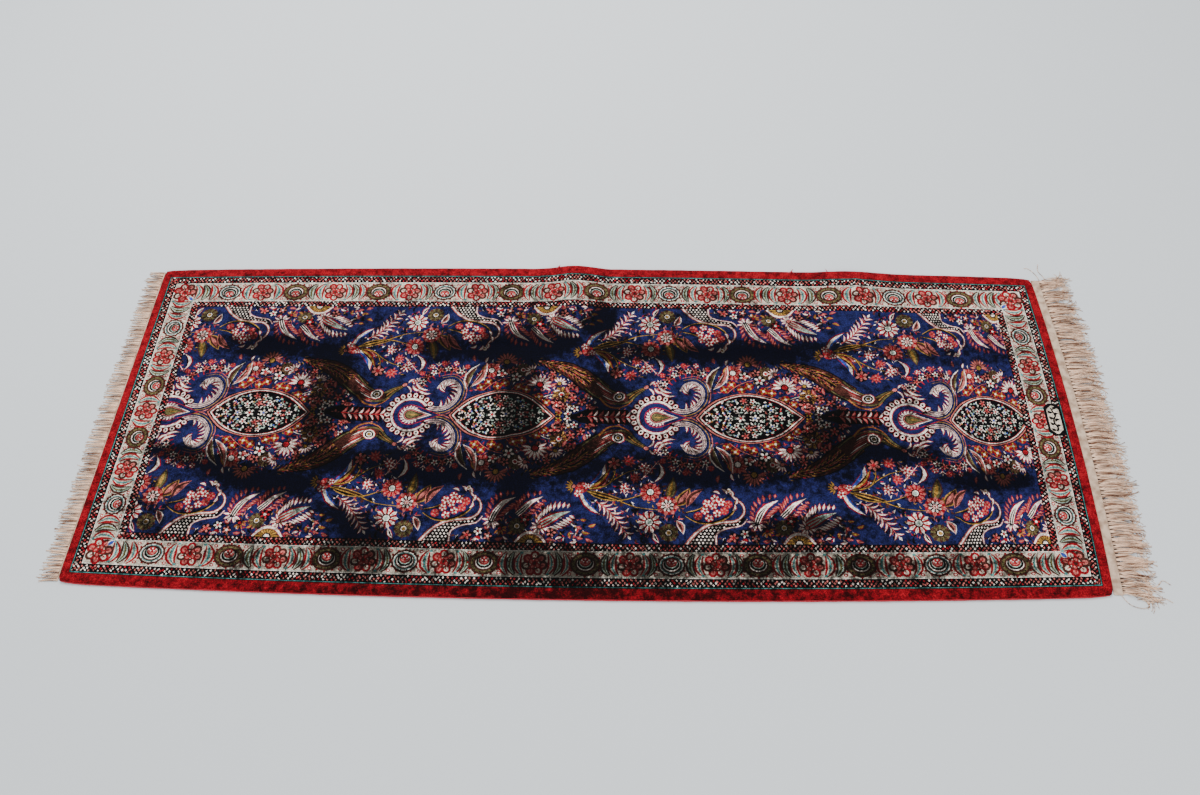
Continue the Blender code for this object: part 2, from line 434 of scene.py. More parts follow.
def bird():
    """A long-tailed bird, its tail swept back over the medallion before it."""
    tail = (-256 + 139j, -228 + 130j, -194 + 119j, -162 + 100j, -136 + 78j, -112 + 60j)
    body = (-140 + 84j, -120 + 64j, -98 + 50j, -76 + 44j, -60 + 46j, -46 + 58j, -24 + 72j)
    shapes = [(band(tail, 5, 46, 16), "ink"), (band(tail, 2.5, 42, 14), "brown")]
    for number, offset in enumerate((17, 12, 7, 2, -3, -8, -13)):
        line = [p + spun(offset * (0.12 + 0.19 * n), 56) for n, p in enumerate(tail)]
        dye, width = (("gold", 1.6), ("ink", 3.4), ("rose", 1.4))[number % 3]
        shapes.append((band(line, 0.6, width, 0.2), dye))
    for number in range(17):
        here, ahead = walked(smooth(tail, 4), 0.05 + 0.056 * number)
        for side in (1, -1):
            for n, out in enumerate((2.5, 7, 11.5)):
                start = here + ahead * side * 1j * (out + 0.4 * number)
                dye = ("rose", "ink", "gold", "red", "ink")[(number * 2 + n) % 5]
                size = 3.6 if dye == "ink" else 2.2
                shapes.append((blade(start, start - spun(ahead * 10, side * 30), size, 0, 2), dye))
    rows = (
        (body, 44, 9, 4, "ink"), (body, 40, 6, 4, "olive"), (body[:6], 34, 4, 4, "ink"),
        (body[:5], 31, 14, 2, "brown"),
    )
    shapes += [(band(line, width, end, swell), dye) for line, width, end, swell, dye in rows]
    for number in range(8):
        root = complex(-94 + 1.3 * number, 62 - 4.6 * number)
        tip = complex(-136 + 4 * number, 94 - 8.0 * number)
        shapes.append((blade(root, tip, 3.0, 0.03, 2), ("rose", "cream", "red", "rose")[number % 4]))
    for radius, dye in (
        (15.5, "red"), (13.5, "cream"), (10.5, "ink"), (6.5, "cream"), (4.5, "ink"), (2.4, "gold"),
    ):
        shapes.append((oval(-79 + 50j, radius, radius * 0.86, 30, 9), dye))
    throat = (-120 + 46j, -104 + 28j, -82 + 22j, -62 + 30j, -50 + 42j)
    shapes += [(band(throat, width, end), dye) for width, end, dye in (
        (5.4, 1.8, "red"), (3.2, 0.8, "gold"),
    )]
    shapes.append((band((-58 + 46j, -44 + 60j, -26 + 71j), 5, 4.5, 1, 2), "brown"))
    shapes.append((band((-58 + 46j, -44 + 60j, -26 + 71j), 1.6, 1.4, 0, 2), "gold"))
    shapes += [(oval(-21 + 75j, rx, ry, 30, 8), dye) for rx, ry, dye in (
        (7.5, 5.5, "ink"), (5.6, 4.0, "rose"),
    )]
    for tip, bend in ((-6 + 52j, 0.2), (-2 + 90j, 0.1)):
        shapes += leaf(-17 + 72j if tip.imag < 70 else -14 + 79j, tip, 4, "cream", None, bend, 1.2)
    return shapes


def trunk():
    """Chevron leaves on the middle line, and the flowers that they grow from."""
    edge = ((-226, 0), (-214, 34), (-190, 66), (-158, 66), (-132, 42), (-128, 14), (-60, 14), (-60, 0))
    shapes = thicket(edge, -160, 75, 4)
    flowers = (
        (-158, 3, 10, "rose"), (-172, 20, 9, "cream"), (-158, 36, 10, "rose"), (-186, 6, 9, "cream"),
        (-142, 24, 8, "rose"), (-198, 24, 9, "rose"), (-178, 46, 10, "rose"), (-206, 8, 8, "gold"),
        (-140, 50, 8, "cream"),
    )
    for x, y, radius, petal in flowers:
        shapes += floret(complex(x, y), radius, petal, "red", 5, x)
    for x, y, way in ((-150, 44, 70), (-186, 58, 110), (-140, 12, 40), (-200, 12, 150), (-168, 60, 95)):
        root = complex(x, y)
        shapes += leaf(root, root + spun(18, way), 6, "rose", None, 0.1, 1.4)
    shapes.append(([-190 + 0j, -150 + 17j, -60 + 18j, -52 + 0j], "ink"))
    for n in range(8):
        x = -144 + 11.5 * n
        shapes.append((blade(complex(x, 1), complex(x + 10, 16), 6.6, -0.14, 3), "red"))
        dye = "cream" if n % 2 else "rose"
        shapes.append((blade(complex(x, 1), complex(x + 9, 14.5), 4.4, -0.14, 3), dye))
    shapes.append(([-146 + 0j, -56 + 0j, -56 + 1.1j, -146 + 1.1j], "red"))
    return shapes


def meadow():
    """Asters, buds and sprigs on each side of the medallion."""
    edge = (
        (118, 62), (128, 88), (150, 128), (184, 146), (212, 140), (250, 138), (276, 118), (300, 112),
        (346, 84), (352, 40),
    )
    shapes = thicket((*edge, (330, 6), (312, 4), (262, 44), (212, 64), (150, 58)), 215, 300, 9)
    shapes += stem((150 + 62j, 176 + 84j, 214 + 96j, 250 + 84j), 2.0, "rose", 1.0)
    shapes += stem((212 + 62j, 232 + 78j, 262 + 80j), 2.0, "rose", 1.0)
    shapes += stem((268 + 40j, 292 + 52j, 318 + 58j), 2.0, "cream", 1.0)
    shapes += daisy(164 + 114j, 20, 10, "rose", "cream", "ink", 8)
    shapes += floret(146 + 104j, 11, "rose", "red", 5, 40)
    shapes += floret(187 + 106j, 11, "cream", "red", 5, 0)
    shapes += fan(196 + 136j, 25, 90, 9, 176, "rose", "gold", "brown")
    shapes += daisy(234 + 113j, 18, 11, "olive", "red", "brown", 0, "brown")
    shapes += floret(213 + 114j, 10, "rose", "ink", 5, 30)
    shapes += floret(220 + 95j, 12, "cream", "red", 5, 10)
    shapes += fan(254 + 112j, 17, 122, 5, 110, "cream", "rose")
    shapes += fan(272 + 78j, 27, 78, 10, 215, "cream", "red")
    shapes += fan(314 + 82j, 17, 66, 6, 140, "cream", "gold")
    shapes += daisy(320 + 54j, 20, 10, "gold", "red", "brown", 10, "brown")
    shapes += floret(310 + 32j, 13, "rose", "red", 5, 20)
    shapes += floret(340 + 76j, 9, "rose", "red", 5, 12)
    shapes += floret(332 + 22j, 9, "cream", "red", 5, 12)
    shapes += floret(298 + 106j, 9, "rose", "red", 5, 50)
    for x, y in ((145, 71), (181, 72), (197, 80), (227, 68), (244, 63), (272, 47), (288, 34), (160, 84)):
        shapes += floret(complex(x, y), 9.5, "gold", "cream", 4, x * 7, "crimson")
    leaves = (
        (140, 96, 60, 20, "brown"), (148, 108, 80, 22, "gold"), (184, 98, 20, 14, "rose"),
        (204, 104, 100, 14, "rose"), (240, 98, 50, 16, "cream"), (296, 72, 40, 16, "rose"),
        (304, 62, 10, 12, "cream"), (336, 52, 20, 14, "rose"), (300, 88, 110, 14, "rose"),
        (338, 96, 60, 14, "cream"), (182, 132, 200, 14, "rose"), (208, 134, -20, 14, "rose"),
        (126, 138, 100, 16, "rose"), (150, 134, 70, 15, "cream"),
    )
    return shapes + sprinkled(leaves)


def sprinkled(rows):
    """Small plain leaves: each row is x, y, the way it points, its length and its dye."""
    shapes = []
    for x, y, way, size, dye in rows:
        root = complex(x, y)
        shapes += leaf(root, root + spun(size, way), size * 0.36, dye, None, 0.12, 1.3)
    return shapes


def thicket(edge, root_x, count, seed):
    """Small strokes inside an edge, fanned out from a root, as undergrowth between larger flowers."""
    chance = random.Random(seed)
    dark = ("ink", "brown")
    outline = [complex(x, y) for x, y in edge]
    xs = [p.real for p in outline]
    ys = [p.imag for p in outline]
    dyes = ("rose", "ink", "red", "cream", "brown", "rose", "ink", "cream", "brown", "red", "gold", "ink")
    shapes = []
    while len(shapes) < count:
        at = complex(chance.uniform(min(xs), max(xs)), chance.uniform(min(ys), max(ys)))
        if not inside(at, outline):
            continue
        way = heading(at - complex(root_x, -40)) + chance.choice((-50, -20, 20, 50)) + chance.gauss(0, 9)
        dye = dyes[len(shapes) % len(dyes)]
        size = chance.uniform(7, 11) * (1.3 if dye in dark else 1)
        shapes.append((blade(at, at + spun(size, way), 5.2 if dye in dark else 3.0, 0.14, 2), dye))
    return shapes


def bouquet():
    """The flowering branch that springs from beside the birds, up to the inner guard."""
    edge = (
        (-140, 160), (-118, 122), (-84, 96), (-30, 98), (6, 120), (16, 150), (40, 160), (60, 232),
        (30, 284), (-52, 284),
    )
    shapes = thicket((*edge, (-98, 240), (-140, 190)), -190, 300, 12)
    shapes += leaf(-154 + 168j, -111 + 224j, 9, "cream", "blue", 0.13, 2.0)
    shapes += leaf(-141 + 168j, -104 + 112j, 19, "cream", "blue", 0.16, 2.0)
    shapes += leaf(-134 + 166j, -94 + 120j, 8, "gold", "ink", 0.10)
    shapes += leaf(-130 + 170j, -96 + 146j, 8, "rose", "ink", 0.08)
    shapes += leaf(-140 + 172j, -66 + 192j, 13, "ink", "brown", 0.04, 1.6, "gold")
    shapes += stem((-138 + 174j, -106 + 184j, -74 + 194j, -40 + 208j, 4 + 213j), 3.2, "gold", 1.4)
    shapes += stem((-78 + 194j, -56 + 190j, -30 + 180j), 2.6, "gold")
    shapes += stem((-134 + 168j, -104 + 162j, -84 + 146j, -58 + 130j, -30 + 122j), 3.2, "gold", 1.4)
    shapes += stem((-92 + 152j, -84 + 134j, -84 + 116j), 2.4, "gold")
    shapes += frond((-120 + 196j, -98 + 212j, -78 + 236j, -56 + 268j), 24, 8, "cream", "rose", "red", 48)
    shapes += frond((-30 + 146j, -14 + 128j, 2 + 108j), 11, 4, "rose", "cream", "red", 44)
    shapes += daisy(24 + 262j, 20, 9, "brown", "gold", "ink", 12, "olive")
    shapes += leaf(-6 + 262j, 6 + 284j, 9, "cream", "ink", 0.1)
    shapes += daisy(-14 + 240j, 23, 10, "cream", "celadon", "ink", 0)
    shapes += leaf(40 + 236j, 52 + 264j, 12, "rose", "brown", -0.1, 1.5, "cream")
    shapes += leaf(40 + 204j, 66 + 166j, 21, "brown", "rose", 0.05, 2.0, "gold")
    shapes += leaf(22 + 192j, 34 + 142j, 19, "olive", "gold", 0.05, 2.0, "brown")
    shapes += leaf(60 + 206j, 92 + 168j, 15, "brown", "rose", -0.12, 1.5, "rose")
    shapes += blossom_leaf()
    shapes += daisy(22 + 204j, 22, 8, "rose", "cream", "ink", 10)
    shapes += daisy(22 + 204j, 13, 8, "cream", "rose", "red", 30, "ink")
    shapes += daisy(-12 + 174j, 21, 11, "rose", "celadon", "ink", 5)
    for x, y, radius, petal in (
        (-65, 166, 14, "cream"), (-44, 143, 13, "rose"), (-24, 122, 15, "cream"), (-56, 106, 15, "rose"),
    ):
        shapes += fan(complex(x, y), radius, -20 + y - 140, 7, 230, petal, "red")
        shapes += floret(complex(x, y), radius * 0.6, petal, "red", 5, x, "red")
    shapes += floret(-86 + 110j, 14, "rose", "red", 6, 20)
    shapes += leaf(-4 + 152j, 4 + 108j, 8, "cream", "ink", 0.28, 2.0)
    shapes += floret(-150 + 166j, 12, "rose", "red", 5, 0, "red")
    shapes += floret(-157 + 178j, 8, "cream", "red", 5, 30, "red")
    shapes += floret(-140 + 162j, 7, "cream", "red", 5, 30, "red")
    shapes += fan(-166 + 162j, 17, 176, 6, 130, "gold", "rose", "brown")
    return shapes


def blossom_leaf():
    """A big curled leaf filled with small blossoms."""
    route = (58 + 222j, 84 + 226j, 112 + 220j, 138 + 206j, 146 + 190j)
    rows = ((10, 22, 28, "gold"), (7, 19, 26, "ink"), (4, 16, 22, "navy"))
    shapes = [(band(route, width, end, swell), dye) for width, end, swell, dye in rows]
    spots = (
        (82, 226), (96, 214), (104, 230), (112, 204), (120, 220), (134, 214), (128, 196), (142, 200),
        (116, 188), (100, 198),
    )
    for x, y in spots:
        shapes += floret(complex(x, y), 8.4, "rose" if x % 4 else "cream", "red", 5, x, "red")
    for x, y, way in (
        (150, 214, -70), (156, 200, -80), (150, 184, -100), (140, 178, -130), (126, 178, -160),
    ):
        shapes += leaf(complex(x, y), complex(x, y) + spun(15, way), 5, "cream", None, 0.2)
    return shapes


LATTICE = [
    60 + 287j, 80 + 262j, 104 + 245j, 130 + 240j, 156 + 238j, 170 + 226j,
    174 + 232j, 164 + 246j, 136 + 252j, 116 + 264j, 112 + 287j,
]


def arch():
    """The dotted lattice that hangs from the inner guard, and the ribbon under it."""
    shapes = [(LATTICE, "ink")]
    for row in range(8):
        for column in range(17):
            at = complex(60 + 7.6 * column + 3.8 * (row % 2), 283 - 6.6 * row)
            if all(inside(at + step, LATTICE) for step in (0, 2.6j, -2.6)):
                shapes.append((oval(at, 2.5, points=4), "cream"))
    ribbon = (
        56 + 290j, 76 + 264j, 102 + 245j, 130 + 239j, 156 + 236j, 172 + 220j, 170 + 200j, 154 + 186j,
        145 + 172j,
    )
    for width, end_width, dye in (
        (9.5, 6, "ink"), (7.4, 4, "rose"), (4.6, 2.6, "red"), (3.0, 1.6, "cream"),
    ):
        shapes.append((band(ribbon, width, end_width), dye))
    shapes += [(oval(144 + 170j, r, points=n), dye) for r, n, dye in (
        (6.5, 8, "ink"), (5.0, 7, "cream"), (2.4, 5, "gold"),
    )]
    shapes.append((band((116 + 288j, 118 + 264j, 138 + 252j, 166 + 246j, 178 + 232j), 4.6, 2.6), "rose"))
    shapes.append((band((116 + 288j, 118 + 264j, 138 + 252j, 166 + 246j, 178 + 232j), 2.2, 1), "cream"))
    return shapes


def spandrel():
    """The toothed leaves and flowers between one bouquet and the next."""
    edge = (
        (122, 286), (126, 266), (150, 258), (186, 256), (196, 226), (212, 200), (236, 190), (246, 216),
        (290, 186), (304, 206),
    )
    shapes = thicket((*edge, (330, 226), (352, 222), (366, 236), (384, 246), (374, 286)), 260, 290, 7)
    shapes += fan(275 + 286j, 27, -90, 9, 170, "gold", "cream", "brown")
    shapes.append((band((246 + 286j, 260 + 270j, 275 + 265j, 292 + 270j, 306 + 286j), 6, 6, 2), "red"))
    shapes.append(
        (band((246 + 286j, 260 + 270j, 275 + 265j, 292 + 270j, 306 + 286j), 3.6, 3.6, 2), "cream"),
    )
    shapes += daisy(248 + 252j, 18, 9, "brown", "gold", "ink", 0, "olive")
    shapes += floret(150 + 272j, 10, "rose", "red", 5, 0)
    shapes += floret(172 + 264j, 9, "cream", "red", 5, 30)
    shapes += floret(192 + 274j, 9, "rose", "cream", 5, 0)
    shapes += fan(215 + 258j, 15, 60, 5, 150, "gold", "red")
    leaves = (
        (136, 280, -40, 14, "rose"), (160, 282, -20, 14, "cream"), (178, 280, 200, 12, "red"),
        (206, 280, -10, 16, "rose"), (222, 274, 30, 12, "cream"), (184, 252, 40, 12, "rose"),
        (230, 268, -30, 12, "gold"), (320, 280, 180, 14, "rose"), (338, 274, 160, 14, "cream"),
        (352, 262, 80, 13, "gold"), (366, 250, 30, 13, "rose"), (372, 236, 0, 13, "gold"),
        (366, 272, 20, 14, "rose"), (354, 284, -10, 14, "cream"), (376, 262, 10, 16, "gold"),
        (384, 276, 20, 16, "rose"), (388, 250, -20, 16, "gold"),
    )
    shapes += sprinkled(leaves)
    shapes += fan(197 + 240j, 20, 110, 7, 230, "cream", "ink")
    shapes += toothed_leaf((196 + 242j, 204 + 222j, 218 + 204j, 242 + 190j), 32, 8, "cream", "rose")
    shapes += toothed_leaf((246 + 228j, 258 + 216j, 272 + 200j, 296 + 186j), 30, 8, "cream", "rose")
    route = (290 + 250j, 306 + 240j, 326 + 228j, 352 + 218j)
    shapes += toothed_leaf(route, 40, 9, "celadon", "cream", "red")
    shapes += fan(292 + 252j, 18, 150, 6, 190, "cream", "rose")
    shapes += floret(262 + 238j, 10, "red", "cream", 5, 0)
    shapes += floret(316 + 264j, 10, "rose", "ink", 5, 0)
    return shapes


def shortened(p):
    """The weaver ran out of length: the last repeat is squeezed to the right of its collar."""
    return complex(min(p.real, 70 + (p.real - 70) * 0.72), p.imag) if p.real > 70 else p


def field():
    drawn = []
    for part in (spandrel, arch, bouquet, meadow, trunk, paisley_mass, plume, bird, head, cypress):
        drawn += part()
    drawn += mirrored(drawn) + jar_heart()
    low = complex(FIELD_LEFT, -FIELD_HALF)
    high = complex(FIELD_RIGHT, FIELD_HALF)
    shapes = []
    for place in HEADS:
        for points, dye in drawn:
            if place == HEADS[-1]:
                points = [shortened(p) for p in points]
            points = clipped([p + place for p in points], low, high)
            if points:
                shapes.append((points, dye))
    return shapes


# The border, from the field outwards: inner guard, main border, outer guard and a plain red band

# Where its roses stand along a side and along an end: those with an even number are ringed, the others full
SIDE_ROSES = (
    -833, -756, -678, -586, -484, -411, -330, -255, -176, -78, 20,
    106, 185, 271, 350, 451, 544, 620, 688, 760, 832,
)
END_ROSES = (-225, -144, -66, 0, 66, 144, 225)
MAIN_MIDDLE = 43.0
RING_REACH, ROSE_REACH = 30.0, 25.0
# The ends' border is narrower than that of the sides
LEFT_SHARE, RIGHT_SHARE = 0.975, 0.88
BORDER_LINES = (
    (91.5, "ink"), (90.0, "teal"), (88.6, "ink"), (70.6, "cream"), (69.2, "celadon"), (68.2, "beige"),
    (18.6, "celadon"), (17.6, "cream"), (16.4, "ink"), (0, "navy"),
)


def ring_rose(teal):
    """A rosette of rings round a red heart, which sits towards the field."""
    if teal:
        rows = [
            (0, 27.4, 23.8, "brown"), (0, 23.2, 19.8, "cream"), (0, 21.6, 18.2, "teal"),
            (0, 19.6, 16.4, "brown"),
        ]
    else:
        rows = [(0, 30.4, 24.8, "brown"), (0, 25.8, 20.6, "olive"), (0, 20.8, 17.2, "brown")]
    shapes = []
    for way in range(0, 360, 30):
        at = spun(27.5 if teal else 30, way)
        shapes.append((oval(complex(at.real, at.imag * 0.82), 3.4, 2.8, way, 6), "crimson"))
    rows += [
        (-0.5, 16.6, 13.6, "cream"), (-1.8, 15.4, 12.8, "ink"), (-3.2, 12.0, 10.2, "celadon"),
        (-4.4, 10.8, 9.4, "crimson"), (-5.5, 8.8, 7.6, "rose"), (-6.5, 6.6, 6.0, "red"),
    ]
    shapes += [(oval(complex(0, at), rx, ry, points=14 if rx > 15 else 9), dye) for at, rx, ry, dye in rows]
    for way in range(15, 360, 30):
        at = spun(23.4, way)
        shapes.append((oval(complex(at.real, at.imag * 0.82), 1.8, points=4), "ink"))
    return shapes + [(oval(complex(x, y), 1.9, points=4), "cream") for x, y in (
        (-3.5, -5), (3.5, -5), (0, -10), (-7, -8), (7, -8),
    )]


def full_rose():
    """A red-edged peony: curled petals round a dark bud."""
    shapes = []
    for n in range(7):
        way = 360 / 7 * n + 12
        shapes.append((oval(spun(15.5, way), 11.0, 10.0, way, 9), "brown" if n % 3 == 0 else "crimson"))
        shapes.append((oval(spun(16.2, way), 5.6, 4.8, way, 8), "beige" if n % 2 else "rose"))
        shapes.append((blade(spun(11, way), spun(19, way), 3.0, 0.1, 2), "crimson"))
    shapes += [(oval(0j, 13.6, 13.0, points=11), "brown"), (oval(0j, 9.8, 9.2, points=10), "beige")]
    for n in range(4):
        way = 90 * n + 30
        shapes.append((oval(spun(7.2, way), 6.4, 4.8, way + 40, 7), "crimson"))
        shapes.append((oval(spun(7.4, way), 3.8, 2.6, way + 40, 5), "rose"))
    return shapes + [(oval(-1j, 5.2, 6.8, points=7), "crimson"), (oval(-1j, 3.0, 4.4, points=5), "brown")]


def brackets(side, start, end):
    """Curved leaves beside a full rose, one inside the next, that fill the space from start to end."""
    count = max(1, round((end - start) / 17))
    step = (end - start) / count
    shapes = []
    for n in range(count):
        reach = start + step * (n + 0.5)
        route = [complex(side * x, y) for x, y in (
            (reach - 10, 23), (reach, 9), (reach, -8), (reach - 7, -23),
        )]
        fill, rib = (("beige", "teal"), ("celadon", "olive"), ("beige", "teal"))[n % 3]
        edge = "brown" if n % 2 else "crimson"
        for width, swell, dye in (
            (6.6, step * 0.78, edge), (1.0, step * 0.50, fill), (0.1, step * 0.24, rib),
        ):
            shapes.append((band(route, width, width * 0.6, swell, 2), dye))
        for y in (-12, -3, 6, 14):
            dye = "ink" if n % 2 else "crimson"
            shapes.append((oval(complex(side * (reach + 2.5), y), 1.7, points=4), dye))
    for y in (20, -20):
        shapes.append((oval(complex(side * (end - 2), y), 4.6, 3.6, points=6), "red"))
        shapes.append((oval(complex(side * (end - 2), y), 2.2, 1.6, points=5), "cream"))
        shapes.append((oval(complex(side * (start + 1), y * 1.08), 4.2, 2.6, points=5), "teal"))
    return shapes


def guard_florets(start, end, level, chance, pitch=8.6):
    """Rows of small kites, set against each other and as uneven as hand knotting makes them."""
    count = round((end - start) / pitch)
    step = (end - start) / count
    shapes = []
    for n in range(count):
        middle = complex(start + (n + 0.5) * step, level)
        for ds, dt, w, h in ((-0.26, -4.6, 2.1, 2.7), (0.24, 0.4, 2.2, 2.9), (-0.26, 5.2, 1.9, 2.3)):
            at = middle + complex(ds * step + chance.gauss(0, 0.6), dt + chance.gauss(0, 0.7))
            w *= chance.uniform(0.75, 1.25)
            kite = [at - w, at - 1j * h + chance.gauss(0, 1), at + w, at + 1j * h + chance.gauss(0, 1)]
            shapes.append((kite, chance.choice(("rose", "rose", "cream", "rose", "red", "cream"))))
    return shapes


def plaque():
    """A small label filled with a plain leafy vine, where the rug has its cartouche."""
    shapes = []
    for reach, half, dye in ((41, 17, "ink"), (35.5, 12, "beige")):
        cut = 10
        outline = [complex(half, -reach + cut), complex(half, reach - cut), complex(half - cut, reach)]
        outline += [complex(cut - half, reach), complex(-half, reach - cut), complex(-half, cut - reach)]
        shapes.append((outline + [complex(cut - half, -reach), complex(half - cut, -reach)], dye))
    shapes.append((band([complex(3 * math.sin(n * 1.9), -30 + 10 * n) for n in range(7)], 3.8, 3.0), "ink"))
    for n in range(8):
        root = complex(0, -27 + 7.4 * n)
        shapes.append((blade(root, root + complex(10.5 if n % 2 else -10.5, 6), 6.8, 0.2, 3), "ink"))
    return shapes


def sides():
    """For each side: its place from (along, outwards), where it starts and ends, its roses, their size,
    and the shares of the border's width at its two ends."""
    long_side = (FIELD_LEFT, FIELD_RIGHT, SIDE_ROSES, 1.0, (LEFT_SHARE, RIGHT_SHARE))
    end = (-FIELD_HALF, FIELD_HALF, END_ROSES, 0.9, (1, 1))
    return (
        (lambda p: complex(p.real, FIELD_HALF + p.imag), *long_side),
        (lambda p: complex(p.real, -FIELD_HALF - p.imag), *long_side),
        (lambda p: complex(FIELD_RIGHT + p.imag * RIGHT_SHARE, p.real), *end),
        (lambda p: complex(FIELD_LEFT - p.imag * LEFT_SHARE, p.real), *end),
    )


def roses(places, start, end, size):
    """The roses of one side's main border, and the leaves between them and up to those in its corners."""
    reaches = (RING_REACH * size, ROSE_REACH * size)
    shapes = []
    for n, at in enumerate(places):
        middle = complex(at, MAIN_MIDDLE)
        if n % 2:
            for side, other in ((-1, places[n - 1]), (1, places[n + 1])):
                shapes += placed(brackets(side, reaches[1], abs(other - at) - reaches[0] + 2), middle)
        rose = full_rose() if n % 2 else ring_rose(n % 6 == 0)
        shapes += [([middle + complex(p.real * size, p.imag) for p in points], dye) for points, dye in rose]
    for side, corner, last in ((1, start - MAIN_MIDDLE, places[0]), (-1, end + MAIN_MIDDLE, places[-1])):
        gap = abs(last - corner) - reaches[0] + 2
        shapes = placed(brackets(side, ROSE_REACH, gap), complex(corner, MAIN_MIDDLE)) + shapes
    return shapes


def border():
    shapes = []
    chance = random.Random(11)
    for where, start, end, places, size, (low, high) in sides():
        drawn = roses(places, start, end, size)
        drawn += guard_florets(start - 17 * low, end + 17 * high, 8.4, chance)
        drawn += guard_florets(start - 88 * low, end + 88 * high, 79.6, chance)
        shapes += [([where(p) for p in points], dye) for points, dye in drawn]
    for x in (FIELD_LEFT - MAIN_MIDDLE * LEFT_SHARE, FIELD_RIGHT + MAIN_MIDDLE * RIGHT_SHARE):
        for side in (1, -1):
            corner = complex(x, side * (FIELD_HALF + MAIN_MIDDLE))
            inwards = complex(-1 if x > 0 else 1, -side)
            shapes += placed(full_rose(), corner, 45, 1.1)
            shapes += leaf(corner + inwards * 13, corner + inwards * 24, 9, "blue", None, 0, 1.4, "cream")
    return shapes + placed(plaque(), complex(FIELD_RIGHT + 61, 4))


def cartoon():
    """The whole design, as the weaver's full-size drawing."""
    shapes = [(rectangle(END_LEFT, END_RIGHT, -SIDE, SIDE), "crimson")]
    for out, dye in BORDER_LINES:
        left, right = FIELD_LEFT - out * LEFT_SHARE, FIELD_RIGHT + out * RIGHT_SHARE
        shapes.append((rectangle(left, right, -FIELD_HALF - out, FIELD_HALF + out), dye))
    return shapes + field() + border()


# From the flat drawing to the rug as it lies


def plan(flat):
    """Places on the floor, in metres, of flat points in millimetres."""
    x, y = flat[:, 0], flat[:, 1]
    half = (END_RIGHT - END_LEFT) / 2
    u = (x - (END_LEFT + END_RIGHT) / 2) / half
    v = y / SIDE
    corner = CORNER_PULL * np.abs(u * v) ** 40
    px = x + RIGHT_BOW * np.maximum(u, 0) ** 4 * (1 - v * v) - np.copysign(corner, u)
    distance = []
    for left, middle, right in (FAR_SIDE, NEAR_SIDE):
        along = px / half
        distance.append(middle + (right - left) / 2 * along + ((right + left) / 2 - middle) * along**2)
    far, near = distance
    py = (far - near) / 2 + v * (far + near) / 2 - np.copysign(corner, v)
    return np.stack([px, py], 1) * MM


class Folds:
    """The heights at which the cloth lies, read from the frame's own rug."""

    columns, rows = 51, 25

    def __init__(self):
        tree = BVHTree.FromObject(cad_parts["rug"], bpy.context.evaluated_depsgraph_get())
        half = (END_RIGHT - END_LEFT) / 2
        middle = (END_LEFT + END_RIGHT) / 2
        us = np.linspace(-1, 1, self.columns) * 0.9985
        vs = np.linspace(-1, 1, self.rows) * 0.995
        flat = np.array([(middle + half * u, SIDE * v) for u in us for v in vs])
        heights = []
        for x, y in plan(flat):
            hit = tree.ray_cast(Vector((x, y, -1)), Vector((0, 0, 1)))[0]
            heights.append(hit.z if hit else 0.0)
        self.grid = np.array(heights).reshape(self.columns, self.rows)

    def under(self, flat):
        """The underside's height at flat points, by cubic interpolation in the grid."""
        half = (END_RIGHT - END_LEFT) / 2
        u = (flat[:, 0] - END_LEFT) / (2 * half) * (self.columns - 1)
        v = (flat[:, 1] / SIDE + 1) / 2 * (self.rows - 1)
        return np.maximum(self.cubic(u, v), 0)

    def cubic(self, u, v):
        i = np.clip(np.floor(u).astype(int), 0, self.columns - 2)
        j = np.clip(np.floor(v).astype(int), 0, self.rows - 2)
        total = np.zeros(len(u))
        for a, wa in enumerate(self.weights(u - i)):
            for b, wb in enumerate(self.weights(v - j)):
                row = np.clip(i + a - 1, 0, self.columns - 1)
                column = np.clip(j + b - 1, 0, self.rows - 1)
                total += wa * wb * self.grid[row, column]
        return total

    @staticmethod
    def weights(t):
        return (
            0.5 * (-t + 2 * t**2 - t**3),
            0.5 * (2 - 5 * t**2 + 3 * t**3),
            0.5 * (t + 4 * t**2 - 3 * t**3),
            0.5 * (t**3 - t**2),
        )


FOLDS = Folds()


def triangulated(points, edges, merge=0.02):
    """Flat points and the lines between them as one net of triangles, in numpy arrays."""
    found = delaunay_2d_cdt([Vector(p) for p in points], edges, [], 0, merge, False)
    points = np.array([tuple(p) for p in found[0]])
    faces = np.array(found[2])
    a, b, c = (points[faces[:, n]] for n in range(3))
    turned = (b[:, 0] - a[:, 0]) * (c[:, 1] - a[:, 1]) < (b[:, 1] - a[:, 1]) * (c[:, 0] - a[:, 0])
    faces[turned] = faces[turned][:, ::-1]
    return points, faces


def dyes_of(shapes, points, faces):
    """The dye of each triangle: that of the last shape drawn over its middle."""
    middles = points[faces].mean(1)
    order = np.argsort(middles[:, 0])
    xs = middles[order, 0]
    ys = middles[order, 1]
    dyes = np.zeros(len(faces), int)
    for outline, dye in shapes:
        outline = np.array([(p.real, p.imag) for p in outline])
        low, high = outline.min(0), outline.max(0)
        first, last = np.searchsorted(xs, (low[0], high[0]))
        near = np.arange(first, last)
        near = near[(ys[first:last] >= low[1]) & (ys[first:last] <= high[1])]
        if not len(near):
            continue
        px, py = xs[near, None], ys[near, None]
        ax, ay = outline[:, 0], outline[:, 1]
        bx, by = np.roll(ax, -1), np.roll(ay, -1)
        rise = np.where(by == ay, 1, by - ay)
        crosses = ((ay > py) != (by > py)) & (ax + (bx - ax) * (py - ay) / rise > px)
        dyes[order[near[crosses.sum(1) % 2 == 1]]] = DYE_NAMES.index(dye)
    return dyes


GRID_STEP = 13.0
UNDERSIDE_STEP = 26.0
# Points of the drawing nearer than this fall on the same knot
MERGE = 0.5
